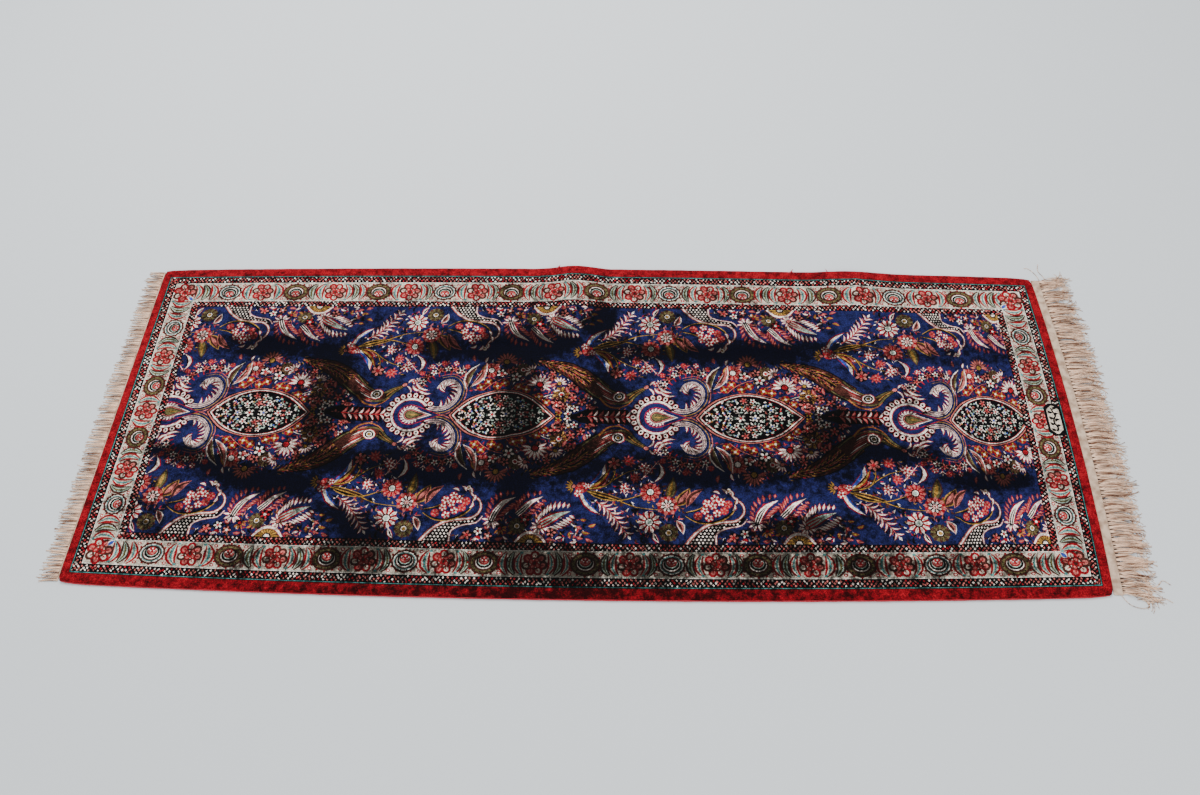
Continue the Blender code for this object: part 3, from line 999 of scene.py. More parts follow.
# The sheet is meshed in three parts that meet at these places along it, because one would have too many
# triangles
SEAMS = (-335.0, 325.0)
PARTS = ("left", "middle", "right")
RIM_ROWS = (0.0, 1.2, 3.0)


def rim_line(inset, step=GRID_STEP):
    """Points round the flat rug, a small distance in from its edge."""
    left, right = END_LEFT + inset, END_RIGHT - inset
    side = SIDE - inset
    along = round((right - left) / step)
    across = round(2 * side / step)
    points = [(left + (right - left) * n / along, -side) for n in range(along)]
    points += [(right, -side + 2 * side * n / across) for n in range(across)]
    points += [(right - (right - left) * n / along, side) for n in range(along)]
    points += [(left, side - 2 * side * n / across) for n in range(across)]
    return points


def looped(start, count):
    return [(start + n, start + (n + 1) % count) for n in range(count)]


def inner_grid(step, margin):
    left, right = END_LEFT + margin, END_RIGHT - margin
    side = SIDE - margin
    xs = np.linspace(left, right, round((right - left) / step) + 1)
    ys = np.linspace(-side, side, round(2 * side / step) + 1)
    return [(x, y) for x in xs for y in ys]


def split_long(points, edges, reach):
    """The same edges, none of them longer than the reach, so that they can follow the folds."""
    split = []
    for a, b in edges:
        start, end = np.array(points[a]), np.array(points[b])
        parts = max(1, math.ceil(np.linalg.norm(end - start) / reach))
        chain = [a, *range(len(points), len(points) + parts - 1), b]
        points += [tuple(start + (end - start) * n / parts) for n in range(1, parts)]
        split += zip(chain, chain[1:])
    return split


def woven_net(shapes):
    """The drawing as triangles of one dye each: the first net finds which lines part two dyes, and the
    second keeps only those."""
    points = []
    edges = []
    for outline, _ in shapes:
        edges += looped(len(points), len(outline))
        points += [(p.real, p.imag) for p in outline]
    points, faces = triangulated(points, edges)
    dyes = dyes_of(shapes, points, faces)
    owners = {}
    for number, (a, b, c) in enumerate(faces.tolist()):
        for edge in ((a, b), (b, c), (c, a)):
            owners.setdefault((min(edge), max(edge)), []).append(number)
    parting = [edge for edge, two in owners.items() if len(two) == 2 and dyes[two[0]] != dyes[two[1]]]
    used = sorted({end for edge in parting for end in edge})
    number_of = {old: new for new, old in enumerate(used)}
    kept = [tuple(points[old]) for old in used]
    edges = split_long(kept, [(number_of[a], number_of[b]) for a, b in parting], GRID_STEP)
    for inset in RIM_ROWS:
        rim = rim_line(inset)
        edges += looped(len(kept), len(rim))
        kept += rim
    kept += inner_grid(GRID_STEP, 8.0) + crease_points()
    for x in SEAMS:
        steps = round(2 * SIDE / GRID_STEP)
        edges += [(len(kept) + n, len(kept) + n + 1) for n in range(steps)]
        kept += [(x, -SIDE + 2 * SIDE * n / steps) for n in range(steps + 1)]
    points, faces = triangulated(kept, edges, MERGE)
    return points, faces, dyes_of(shapes, points, faces)


# Painted shade and highlight: soft patches in which the nap leans away and looks darker, or towards the eye
# and looks brighter, painted into the pile's colour: x, y, turn in degrees, half length, half width, in
# millimetres, and strength, below 0 for darker (painted shade), above 0 for painted highlight
PAINTED_SHADE_AND_HIGHLIGHT_PATCHES = (
    (0, 0, 0, 1000, 290, -0.26), (-560, 40, 90, 190, 72, -0.8), (-700, 182, 0, 200, 52, -0.5),
    (-180, 188, 0, 230, 48, -0.6), (-128, -20, 90, 320, 60, -0.7), (40, 250, 90, 70, 60, -0.6),
    (60, 20, 90, 110, 66, -0.5), (-200, -122, 0, 460, 52, -0.7), (-600, -182, 0, 130, 48, -0.5),
    (230, -128, 0, 300, 48, -0.6), (520, -60, 0, 105, 84, -0.8), (330, 168, 0, 290, 44, -0.6),
    (430, -250, 0, 90, 38, -0.7), (545, -238, 0, 60, 28, -0.5), (800, -142, 0, 150, 38, -0.6),
    (760, 182, 0, 160, 38, -0.35), (-440, -300, 90, 90, 80, -0.6), (-110, -285, 90, 70, 56, -0.6),
    (-780, -140, -10, 150, 48, -0.5), (700, -92, 0, 100, 38, -0.4), (-830, -262, 0, 100, 56, -0.25),
    (0, 246, 0, 960, 46, -0.24), (0, -246, 0, 960, 40, -0.18), (-30, -340, 0, 130, 50, -0.6),
    (150, -335, 0, 90, 50, -0.5), (340, -342, 0, 90, 46, -0.5), (570, -335, 0, 70, 44, -0.5),
    (-650, -342, 0, 60, 44, -0.4), (-100, -296, 0, 900, 18, -0.3), (0, 342, 0, 1000, 60, -0.10),
    (720, -345, 0, 70, 40, -0.3), (-720, 172, -4, 120, 38, -1.0), (-570, 150, -10, 60, 30, -0.6),
    (-545, 60, 78, 120, 38, -1.0), (-470, 60, 70, 60, 26, -0.7), (-562, -30, 90, 60, 24, -0.7),
    (-860, -98, -8, 60, 22, -0.9), (-790, -112, -14, 110, 30, -0.9), (-690, -152, -8, 90, 34, -1.0),
    (-600, -165, 0, 90, 30, -1.0), (-520, -115, 10, 60, 26, -1.0), (-420, -105, 10, 70, 18, -0.6),
    (-330, -130, -5, 130, 42, -1.4), (-310, -35, 60, 60, 20, -0.7), (-450, -252, -25, 110, 34, -1.0),
    (-860, -230, 0, 90, 60, -0.4), (-120, -335, 0, 420, 50, -0.7), (420, -330, 0, 330, 50, -0.6),
    (-650, -335, 0, 200, 50, -0.3), (780, -330, 0, 200, 60, -0.3), (-140, 90, 88, 130, 32, -1.0),
    (-135, -90, 88, 190, 32, -1.2), (-320, 168, 10, 50, 40, -1.0), (-170, 165, 0, 100, 40, -1.4),
    (-60, 190, 10, 60, 32, -1.0), (30, 250, 80, 45, 36, -1.1), (42, 60, 85, 100, 38, -0.9),
    (100, -40, 60, 40, 20, -0.5), (-20, -92, 15, 70, 32, -1.0), (150, 165, 0, 150, 26, -1.0),
    (370, 165, 0, 130, 34, -1.3), (520, 185, 0, 70, 22, -0.8), (60, 170, 10, 60, 22, -0.6),
    (300, -125, -3, 160, 36, -1.1), (525, -50, 75, 82, 72, -1.4), (620, -80, 0, 60, 24, -0.8),
    (690, -85, 0, 50, 24, -0.8), (820, -145, 0, 110, 26, -1.0), (450, -252, 0, 80, 24, -1.0),
    (350, -266, 0, 60, 20, -0.6), (130, -262, 0, 100, 24, -0.7), (560, -205, 0, 50, 20, -0.4),
    (680, 60, 90, 60, 16, -0.5), (650, 165, 0, 60, 20, -0.4), (780, 162, 0, 60, 22, -0.5),
    (880, 165, 0, 40, 30, -0.7), (-820, 255, 0, 60, 30, -0.3), (-470, 252, 20, 60, 30, -0.3),
    (230, 255, 0, 60, 30, -0.3), (-430, -332, 0, 60, 40, -0.6), (-10, -340, 0, 80, 40, -0.4),
    (-130, -250, 90, 60, 50, -0.5), (-120, -60, 0, 60, 40, -0.4), (0, -390, 0, 970, 18, -0.72),
    (780, 370, 0, 60, 14, -0.3), (-370, 20, 0, 60, 50, 0.45), (-250, 10, 70, 70, 30, 0.5),
    (-195, -60, 80, 50, 18, 0.4), (-68, 30, 80, 100, 20, 0.5), (150, 20, 75, 70, 40, 0.6),
    (-455, -60, 30, 32, 28, 0.6), (-440, -172, -10, 90, 28, 0.5), (-370, -222, 80, 50, 24, 0.5),
    (-690, -228, 0, 60, 25, 0.4), (-790, -48, 15, 90, 22, 0.4), (-650, 0, 30, 60, 40, 0.3),
    (-365, 245, 0, 34, 34, 0.5), (-250, 212, 60, 30, 15, 0.4), (600, 250, 0, 60, 35, 0.4),
    (600, 148, 0, 50, 24, 0.4), (300, 60, 60, 80, 50, 0.15), (420, -198, 0, 60, 18, 0.5),
    (650, -150, 60, 60, 25, 0.3), (870, -250, 0, 60, 50, 0.4), (850, 60, 0, 80, 60, 0.15),
    (945, 0, 90, 80, 40, 0.35), (90, 250, 0, 50, 40, 0.3), (-965, 60, 90, 200, 36, 0.35),
    (-180, -340, 0, 70, 30, 0.4), (900, 330, 0, 120, 50, 0.35), (-600, 340, 0, 250, 30, 0.15),
)


# The main creases, from folding and use, on top of the frame's own folds: soft troughs and ridges, as x, y,
# turn in degrees, half length, half width and height in millimetres, below 0 for a trough
CREASES = (
    (-10, 0, 90, 400, 9, -2.4), (-26, 30, 90, 330, 9, 1.8), (8, -20, 90, 350, 9, 2.1),
    (-140, -20, 88, 300, 9, 2.7), (-162, 60, 90, 200, 8, -1.4), (-350, -190, -2, 260, 8, 2.7),
    (-340, -206, -2, 240, 8, -1.5), (36, 60, 86, 200, 10, 2.4), (450, -178, 2, 330, 9, 2.2),
    (-560, 50, 80, 170, 10, 2.7), (350, 176, 0, 300, 11, 2.4), (745, -225, 60, 60, 7, 2.7),
    (-735, -70, -8, 150, 9, 2.2), (-250, 190, 3, 230, 10, 2.5), (-430, -345, 84, 55, 8, 2.1),
    (604, 330, 88, 70, 10, 2.7), (-110, 330, 86, 66, 9, 2.4), (150, -330, 95, 64, 9, 2.0),
    (-700, 200, -6, 170, 9, 2.1), (520, -20, 70, 110, 10, 2.4), (-230, -70, 60, 90, 9, 2.1),
    (640, 90, 84, 130, 8, 1.7), (-860, 20, 80, 120, 8, 1.7), (880, -120, 70, 110, 8, 1.8),
)


def crease_height(flat):
    """How far the creases raise or lower the top at each flat point, in metres."""
    total = np.zeros(len(flat))
    for x, y, turn, along, across, height in CREASES:
        c, s = math.cos(math.radians(turn)), math.sin(math.radians(turn))
        dx, dy = flat[:, 0] - x, flat[:, 1] - y
        u = np.clip(np.abs(dx * c + dy * s) / along, 0, 1)
        wave = 2.5 * np.sin((dx * c + dy * s) / 31 + x)
        v = (dy * c - dx * s + wave) / across
        total += height * MM * np.cos(u * math.pi / 2) ** 0.7 * np.exp(-1.4 * v * v)
    return total


def crease_points():
    """Points for the net along each crease, close enough together to shape it."""
    points = []
    for x, y, turn, along, across, _ in CREASES:
        ahead = spun(1, turn)
        for n in range(-math.floor(along / GRID_STEP), math.floor(along / GRID_STEP) + 1):
            for share in (-1.5, -0.75, 0, 0.75, 1.5):
                at = complex(x, y) + ahead * (n * GRID_STEP + 1j * share * across)
                if END_LEFT + 6 < at.real < END_RIGHT - 6 and abs(at.imag) < SIDE - 6:
                    points.append((at.real, at.imag))
    return points


def painted_shade_and_highlight(flat):
    """How light the lean of the pile makes each flat point, painted into its colour as shade and highlight:
    1 where it stands straight.
    """
    # Sums the painted shade and highlight of every patch at each point
    total = np.zeros(len(flat))
    for x, y, turn, along, across, strength in PAINTED_SHADE_AND_HIGHLIGHT_PATCHES:
        c, s = math.cos(math.radians(turn)), math.sin(math.radians(turn))
        dx, dy = flat[:, 0] - x, flat[:, 1] - y
        far = np.hypot((dx * c + dy * s) / along, (dy * c - dx * s) / across)
        total += strength * np.exp(-1.6 * far**2.4)
    return total


# Materials


def add_node(tree, kind, settings=None, inputs=None):
    """One shader node with its settings, and its inputs set to a value or linked to another node."""
    node = tree.nodes.new(kind)
    for name, value in (settings or {}).items():
        setattr(node, name, value)
    for name, value in (inputs or {}).items():
        if isinstance(value, bpy.types.NodeSocket):
            tree.links.new(value, node.inputs[name])
        else:
            node.inputs[name].default_value = value
    return node


def new_material(name):
    material = bpy.data.materials.new(name)
    material.use_nodes = True
    material.node_tree.nodes.clear()
    return material, material.node_tree


def finish_material(tree, shader, bump=None):
    if bump:
        tree.links.new(bump.outputs["Normal"], shader.inputs["Normal"])
    add_node(tree, "ShaderNodeOutputMaterial", None, {"Surface": shader.outputs["BSDF"]})


def silk_pile_material():
    """Cut silk and wool pile in dyed knots, each a little lighter or darker than its neighbours, with
    painted shade and painted highlight where the pile leans.
    """
    material, tree = new_material("dyed_silk_pile")
    dye = add_node(tree, "ShaderNodeAttribute", {"attribute_name": "dye"})
    painted_nap_light = add_node(tree, "ShaderNodeAttribute", {"attribute_name": "painted_nap_light"})
    place = add_node(tree, "ShaderNodeTexCoord").outputs["Object"]
    # Knots are about 1.2 mm apart, drawn at 2 mm so that they show
    knots = add_node(
        tree, "ShaderNodeTexNoise", None,
        {"Vector": place, "Scale": 430.0, "Detail": 2.0, "Roughness": 0.7},
    )
    speckle = add_node(
        tree, "ShaderNodeMapRange", None,
        {"Value": knots.outputs["Fac"], "From Min": 0.30, "From Max": 0.70, "To Min": 0.20, "To Max": 1.70},
    )
    # Painted shade and highlight: the nap lies down in clumps of about a centimetre, each with an edge as
    # ragged as its knots, and its lean is painted into the colour as darker or lighter
    painted_clump_shade = add_node(
        tree, "ShaderNodeTexNoise", None,
        {"Vector": place, "Scale": 62.0, "Detail": 6.0, "Roughness": 0.75},
    )
    uneven = add_node(
        tree, "ShaderNodeMath", {"operation": "MULTIPLY_ADD"},
        {0: painted_clump_shade.outputs["Fac"], 1: 4.8, 2: painted_nap_light.outputs["Fac"]},
    )
    # The painted shade and highlight of the leaning pile, from the patches and the clumps, as a factor on
    # the dye
    lean = add_node(
        tree, "ShaderNodeMapRange", {"interpolation_type": "SMOOTHSTEP"},
        {
            "Value": uneven.outputs["Value"],
            "From Min": 1.26, "From Max": 3.04, "To Min": 0.07, "To Max": 1.28,
        },
    )
    # The dye is scaled by the knots' own tone and by the painted shade and highlight
    shade = add_node(
        tree, "ShaderNodeMath", {"operation": "MULTIPLY"},
        {0: speckle.outputs["Result"], 1: lean.outputs["Result"]},
    )
    colour = add_node(
        tree, "ShaderNodeVectorMath", {"operation": "SCALE"},
        {0: dye.outputs["Color"], "Scale": shade.outputs["Value"]},
    )
    bump = add_node(
        tree, "ShaderNodeBump", None,
        {"Height": knots.outputs["Fac"], "Strength": 0.35, "Distance": 0.0012},
    )
    shader = add_node(
        tree, "ShaderNodeBsdfPrincipled", None,
        {"Base Color": colour.outputs["Vector"], "Roughness": 0.9, "Specular IOR Level": 0.08},
    )
    finish_material(tree, shader, bump)
    return material


def cotton_material(name, pale, dark, stretch, bump_scale):
    """Undyed cotton, slightly soiled: streaked along the yarns between a dark and a pale colour, the dark
    partly soiling and partly painted shade between the yarns.
    """
    material, tree = new_material(name)
    place = add_node(tree, "ShaderNodeTexCoord").outputs["Object"]
    along = add_node(tree, "ShaderNodeMapping", None, {"Vector": place, "Scale": stretch})
    streaks = add_node(
        tree, "ShaderNodeTexNoise", None, {"Vector": along.outputs["Vector"], "Scale": 1.0, "Detail": 5.0},
    )
    # How dark each streak is: partly soiling, and partly painted shade between the yarns
    soil_and_painted_shade = add_node(
        tree, "ShaderNodeMapRange", None,
        {"Value": streaks.outputs["Fac"], "From Min": 0.37, "From Max": 0.58},
    )
    colour = add_node(tree, "ShaderNodeMix", {"data_type": "RGBA"}, {"Factor": soil_and_painted_shade.outputs["Result"]})
    colour.inputs["A"].default_value = [*linear(dark), 1]
    colour.inputs["B"].default_value = [*linear(pale), 1]
    twist = add_node(
        tree, "ShaderNodeTexWave", {"bands_direction": "DIAGONAL"},
        {"Vector": place, "Scale": bump_scale, "Distortion": 2.5, "Detail": 2.0},
    )
    bump = add_node(
        tree, "ShaderNodeBump", None, {"Height": twist.outputs["Fac"], "Strength": 0.6, "Distance": 0.0006},
    )
    shader = add_node(
        tree, "ShaderNodeBsdfPrincipled", None,
        {"Base Color": colour.outputs["Result"], "Roughness": 0.9, "Specular IOR Level": 0.1},
    )
    finish_material(tree, shader, bump)
    return material


def selvedge_material():
    """Wine-red silk wrapped round the side warps, paler where it is rubbed."""
    material, tree = new_material("red_silk_wrapping")
    place = add_node(tree, "ShaderNodeTexCoord").outputs["Object"]
    rub = add_node(tree, "ShaderNodeTexNoise", None, {"Vector": place, "Scale": 70.0, "Detail": 4.0})
    colour = add_node(tree, "ShaderNodeMix", {"data_type": "RGBA"}, {"Factor": rub.outputs["Fac"]})
    colour.inputs["A"].default_value = [*linear("#8E1420"), 1]
    colour.inputs["B"].default_value = [*linear("#C23A44"), 1]
    # The silk is wound about every 1.5 mm
    wound = add_node(
        tree, "ShaderNodeTexWave", {"bands_direction": "X"},
        {"Vector": place, "Scale": 330.0, "Distortion": 1.0},
    )
    bump = add_node(
        tree, "ShaderNodeBump", None, {"Height": wound.outputs["Fac"], "Strength": 0.5, "Distance": 0.0005},
    )
    shader = add_node(
        tree, "ShaderNodeBsdfPrincipled", None,
        {"Base Color": colour.outputs["Result"], "Roughness": 0.7, "Specular IOR Level": 0.2},
    )
    finish_material(tree, shader, bump)
    return material


# Pieces


def mesh_object(name, vertices, faces, material):
    mesh = bpy.data.meshes.new(name)
    listed = faces.tolist() if isinstance(faces, np.ndarray) else faces
    mesh.from_pydata(np.asarray(vertices).tolist(), [], listed)
    mesh.materials.append(material)
    made = bpy.data.objects.new(name, mesh)
    bpy.context.scene.collection.objects.link(made)
    return made


def top_normals(places, faces):
    """A normal for each point in which every triangle counts by its area, so that slivers do not show."""
    a, b, c = (places[faces[:, n]] for n in range(3))
    across = np.cross(b - a, c - a)
    normals = np.zeros_like(places)
    for n in range(3):
        np.add.at(normals, faces[:, n], across)
    return normals / np.maximum(np.linalg.norm(normals, axis=1, keepdims=True), 1e-12)


def edge_loop(faces):
    """The points round a net of triangles, in order."""
    edges = {(a, b) for face in faces.tolist() for a, b in zip(face, face[1:] + face[:1])}
    after = {a: b for a, b in edges if (b, a) not in edges}
    loop = [min(after)]
    while after[loop[-1]] != loop[0]:
        loop.append(after[loop[-1]])
        if len(loop) > len(after):
            raise ValueError("the edge of this part of the sheet meets itself: move the seam a little")
    return loop


def make_pile(settings):
    """The knotted sheet, in three parts: the dyed net on top, a rounded rim and a plain woven underside."""
    top, faces, dyes = woven_net(cartoon())
    inset = np.minimum.reduce([top[:, 0] - END_LEFT, END_RIGHT - top[:, 0], SIDE - np.abs(top[:, 1])])
    rounding = np.sqrt(np.clip(1 - (1 - np.clip(inset / RIM_ROWS[-1], 0, 1)) ** 2, 0, 1))
    heights = FOLDS.under(top) + settings.thickness * (0.35 + 0.65 * rounding) + crease_height(top)
    material = silk_pile_material()
    part = np.searchsorted(SEAMS, top[faces].mean(1)[:, 0])
    normals = top_normals(np.column_stack([plan(top), heights]), faces)
    palette = np.array([linear(DYES[name]) for name in DYE_NAMES])
    made = []
    for number, name in enumerate(PARTS):
        kept = part == number
        used, numbers = np.unique(faces[kept], return_inverse=True)
        net = numbers.reshape(-1, 3)
        loop = edge_loop(net)
        rim = [tuple(top[used[n]]) for n in loop]
        start, end = min(x for x, _ in rim), max(x for x, _ in rim)
        spare = [(x, y) for x, y in inner_grid(UNDERSIDE_STEP, 14.0) if start + 12 < x < end - 12]
        low, low_faces = triangulated(rim + spare, looped(0, len(rim)))
        low_faces = low_faces[dyes_of([([complex(x, y) for x, y in rim], "ink")], low, low_faces) == INK]
        low_number = {(round(x, 1), round(y, 1)): n for n, (x, y) in enumerate(low.tolist())}
        below = [low_number[(round(x, 1), round(y, 1))] + len(used) for x, y in rim]
        corners = zip(loop[1:] + loop[:1], loop, below, below[1:] + below[:1])
        # Two points of the rim may share one below them, so a face of the wall can be a triangle
        wall = [tuple(dict.fromkeys(face)) for face in corners]
        all_faces = net.tolist() + (low_faces[:, ::-1] + len(used)).tolist() + wall
        flat = np.vstack([top[used], low])
        upper = np.column_stack([plan(top[used]), heights[used]])
        places = np.vstack([upper, np.column_stack([plan(low), FOLDS.under(low)])])
        pile = mesh_object(name + "_silk_pile", places, all_faces, material)
        wall_corners = sum(len(face) for face in wall)
        counts = (len(low_faces), wall_corners, len(used))
        paint_pile(pile.data, palette[dyes[kept]], counts, flat, (start, end), settings)
        upward = np.tile((0.0, 0.0, -1.0), (len(low), 1))
        pile.data.shade_smooth()
        given = pile.data.attributes.new("custom_normal", "FLOAT_VECTOR", "POINT").data
        given.foreach_set("vector", np.vstack([normals[used], upward]).ravel().astype(np.float32))
        made.append(pile)
    return made


def paint_pile(mesh, dyed, counts, flat, limits, settings):
    """Each face's dye, each point's painted shade and highlight for the lean of the pile, and a flat map
    for baking: the top above, the underside below. The counts are those of the underside's faces, the
    wall's corners and the top's points."""
    under_count, wall_corners, top_count = counts
    plain = np.array(linear(settings.back_colour))
    red = np.array(linear(DYES["crimson"]))
    colours = np.vstack([
        np.repeat(dyed, 3, 0), np.tile(plain, (under_count * 3, 1)), np.tile(red, (wall_corners, 1)),
    ])
    colours = np.column_stack([colours, np.ones(len(colours))]).astype(np.float32)
    mesh.attributes.new("dye", "FLOAT_COLOR", "CORNER").data.foreach_set("color", colours.ravel())
    # Painted shade and highlight where the pile leans, on the top's points only
    painted_nap_light = painted_shade_and_highlight(flat)
    painted_nap_light[top_count:] = 0
    mesh.attributes.new("painted_nap_light", "FLOAT", "POINT").data.foreach_set("value", painted_nap_light.astype(np.float32))
    uv = (flat - (limits[0], -SIDE)) / (limits[1] - limits[0], 2 * SIDE)
    uv[:top_count, 1] = 0.2 + 0.8 * uv[:top_count, 1]
    uv[top_count:, 1] = 0.18 * uv[top_count:, 1]
    corners = np.zeros(len(mesh.loops), int)
    mesh.loops.foreach_get("vertex_index", corners)
    mesh.uv_layers.new(name="OFBake").data.foreach_set("uv", uv[corners].ravel().astype(np.float32))


def tube(name, lines, radius, material, resolution=1):
    """Round threads along lines of points in metres, as one mesh."""
    curve = bpy.data.curves.new(name, "CURVE")
    curve.dimensions = "3D"
    curve.bevel_depth = radius
    curve.bevel_resolution = resolution
    curve.use_fill_caps = True
    for points, widths in lines:
        spline = curve.splines.new("POLY")
        spline.points.add(len(points) - 1)
        for point, co, width in zip(spline.points, points, widths):
            point.co = (*co, 1)
            point.radius = width
    made = bpy.data.objects.new(name, curve)
    bpy.context.scene.collection.objects.link(made)
    bpy.ops.object.select_all(action="DESELECT")
    made.select_set(True)
    bpy.context.view_layer.objects.active = made
    bpy.ops.object.convert(target="MESH")
    made = bpy.context.view_layer.objects.active
    turn_outwards(made.data)
    made.data.materials.clear()
    made.data.materials.append(material)
    made.data.shade_smooth()
    return made


def ends():
    """For each end: its name, the way it points, and its fringe's measures in metres and degrees."""
    left = dict(strip=0.0045, length=0.039, tassels=130, yarns=5, gathered=1, pull=0.7, curl=8)
    left.update(lean=5, lift=0.002, spread=(14, -16), reach=0.08)
    right = dict(strip=0.0190, length=0.070, tassels=90, yarns=14, gathered=2, pull=0.5, curl=38)
    right.update(lean=13, lift=0.006, spread=(52, -38), reach=0.13)
    return (("left", -1, left), ("right", 1, right))


def strip_x(outwards, y, out):
    """The x of the flat-woven end at y, at a distance out from the pile."""
    far, near = side_limits(outwards)
    across = (2 * y - far - near) / (far - near)
    if outwards < 0:
        return END_LEFT * MM - out
    return (END_RIGHT + RIGHT_BOW * (1 - min(1, across * across))) * MM + out


def make_kilim_end(end, outwards, fringe, material):
    """The narrow flat-woven strip that holds the knots in, with a slightly wavy outer edge."""
    far, near = side_limits(outwards)
    steps = 90
    rows = []
    for n in range(steps + 1):
        y = near + (far - near) * n / steps
        wobble = 0.0007 * math.sin(y * 90) + 0.0005 * math.sin(y * 231)
        rows.append((strip_x(outwards, y, 0.0004), strip_x(outwards, y, fringe["strip"] + wobble), y))
    profile = ((0.0, 0.0), (0.0, 0.0017), (0.5, 0.0021), (0.93, 0.0016), (1.0, 0.0007), (1.0, 0.0))
    vertices = [(a + (b - a) * share, y, z) for a, b, y in rows for share, z in profile]
    size = len(profile)
    faces = []
    for n in range(steps):
        for k in range(size):
            one, two = n * size + k, n * size + (k + 1) % size
            faces.append((one, two, two + size, one + size))
    faces += [tuple(range(size)), tuple(range(steps * size, (steps + 1) * size))]
    strip = mesh_object(end + "_kilim_end", vertices, faces, material)
    turn_outwards(strip.data)
    return strip


def turn_outwards(mesh):
    solid = bmesh.new()
    solid.from_mesh(mesh)
    bmesh.ops.remove_doubles(solid, verts=solid.verts, dist=1e-6)
    bmesh.ops.recalc_face_normals(solid, faces=solid.faces)
    solid.to_mesh(mesh)
    solid.free()


def side_limits(outwards):
    column = 0 if outwards < 0 else 2
    return (FAR_SIDE[column] - CORNER_PULL) * MM, (CORNER_PULL - NEAR_SIDE[column]) * MM


def make_yarns(end, outwards, fringe, material):
    """The twisted warp ends, in loose tassels that tangle towards their tips."""
    chance = random.Random(end)
    far, near = side_limits(outwards)
    steps = 11
    lines = []
    pitch = (far - near) / fringe["tassels"]
    for tassel in range(fringe["tassels"]):
        root_y = near + pitch * (tassel + 0.5)
        if tassel % fringe["gathered"] == 0:
            sway = chance.gauss(0, fringe["lean"] * 0.6)
            lock_y = root_y + pitch * (fringe["gathered"] - 1) / 2
        to_far = max(0, 1 - (far - root_y) / fringe["reach"]) ** 1.5
        to_near = max(0, 1 - (root_y - near) / fringe["reach"]) ** 1.5
        lean = fringe["spread"][0] * to_far + fringe["spread"][1] * to_near
        lean += fringe["lean"] * (math.sin(31 * root_y + 31) + math.sin(13 * root_y + 13)) / 2
        lean += sway + chance.gauss(0, fringe["lean"] * 0.2)
        full = fringe["length"] * chance.uniform(0.88, 1.08)
        for yarn in range(fringe["yarns"]):
            y = root_y + (yarn / (fringe["yarns"] - 1) - 0.5) * 0.0042
            x = strip_x(outwards, y, fringe["strip"] - 0.0015)
            length = full * chance.uniform(0.72, 1.06)
            gather = math.degrees(math.atan2(lock_y - y, length)) * fringe["pull"]
            curl = chance.gauss(0, fringe["curl"])
            late = chance.gauss(0, fringe["curl"] * 1.6)
            lift = fringe["lift"] * chance.uniform(0.1, 1.0)
            points = []
            widths = []
            for n in range(steps + 1):
                t = n / steps
                height = 0.0007 + 0.0013 * (1 - t) + lift * math.sin(math.pi * min(1, t * 1.15)) ** 1.5
                points.append((x, y, height))
                widths.append(1.2 - 0.5 * t)
                bend = math.radians(lean * min(1, 0.15 + t) + gather + curl * (t - 0.35) + late * t**3)
                x += outwards * length / steps * math.cos(bend)
                y += length / steps * math.sin(bend)
            lines.append((points, widths))
    return tube(end + "_yarns", lines, 0.00068, material, 0)


def make_gap_shade_threads(end, outwards, fringe, material):
    """Short dark threads at the flat-woven end's outer edge, between the tassels, put there as painted
    shade in the gaps between them.
    """
    far, near = side_limits(outwards)
    lines = []
    for tassel in range(1, fringe["tassels"]):
        y = near + (far - near) * tassel / fringe["tassels"]
        x = strip_x(outwards, y, fringe["strip"])
        points = [(x + out * outwards, y, 0.0024 - 0.08 * abs(out)) for out in (-0.002, 0.001, 0.004)]
        lines.append((points, (1, 1.2, 0.8)))
    return tube(end + "_gap_shade_threads", lines, 0.0010, material, 0)


def make_loose_threads(material):
    """Ends of yarn that stray from the near corner of the right end, and one loop beside it."""
    routes = (
        ((1.020, -0.352), (1.046, -0.372), (1.070, -0.381), (1.092, -0.372), (1.108, -0.380)),
        ((1.022, -0.340), (1.055, -0.352), (1.084, -0.350), (1.100, -0.338), (1.113, -0.346)),
        (
            (1.014, -0.360), (1.028, -0.384), (1.050, -0.392), (1.064, -0.386), (1.058, -0.374),
            (1.044, -0.376),
        ),
        ((1.030, 0.345), (1.036, 0.372), (1.026, 0.394), (1.030, 0.414)),
        ((1.026, 0.352), (1.020, 0.380), (1.006, 0.400), (0.996, 0.402)),
    )
    lines = []
    for route in routes:
        points = smooth([complex(x, y) for x, y in route], 5)
        lines.append(([(p.real, p.imag, 0.0012) for p in points], [1] * len(points)))
    return tube("loose_threads", lines, 0.0006, material, 0)


def make_selvedge(side, material):
    """The silk-wrapped edge warps along one long side."""
    steps = 160
    y = SIDE if side == "far" else -SIDE
    flat = np.array([(END_LEFT + 4 + (END_RIGHT - END_LEFT - 8) * n / steps, y) for n in range(steps + 1)])
    place = plan(flat)
    height = FOLDS.under(flat)
    radius = 0.0021
    inwards = -0.0012 if side == "far" else 0.0012
    points = [(x, y + inwards, z + radius) for (x, y), z in zip(place, height)]
    widths = [1 + 0.08 * math.sin(n * 1.7) + 0.06 * math.sin(n * 0.61) for n in range(steps + 1)]
    return tube(side + "_selvedge", [(points, widths)], radius, material, 2)


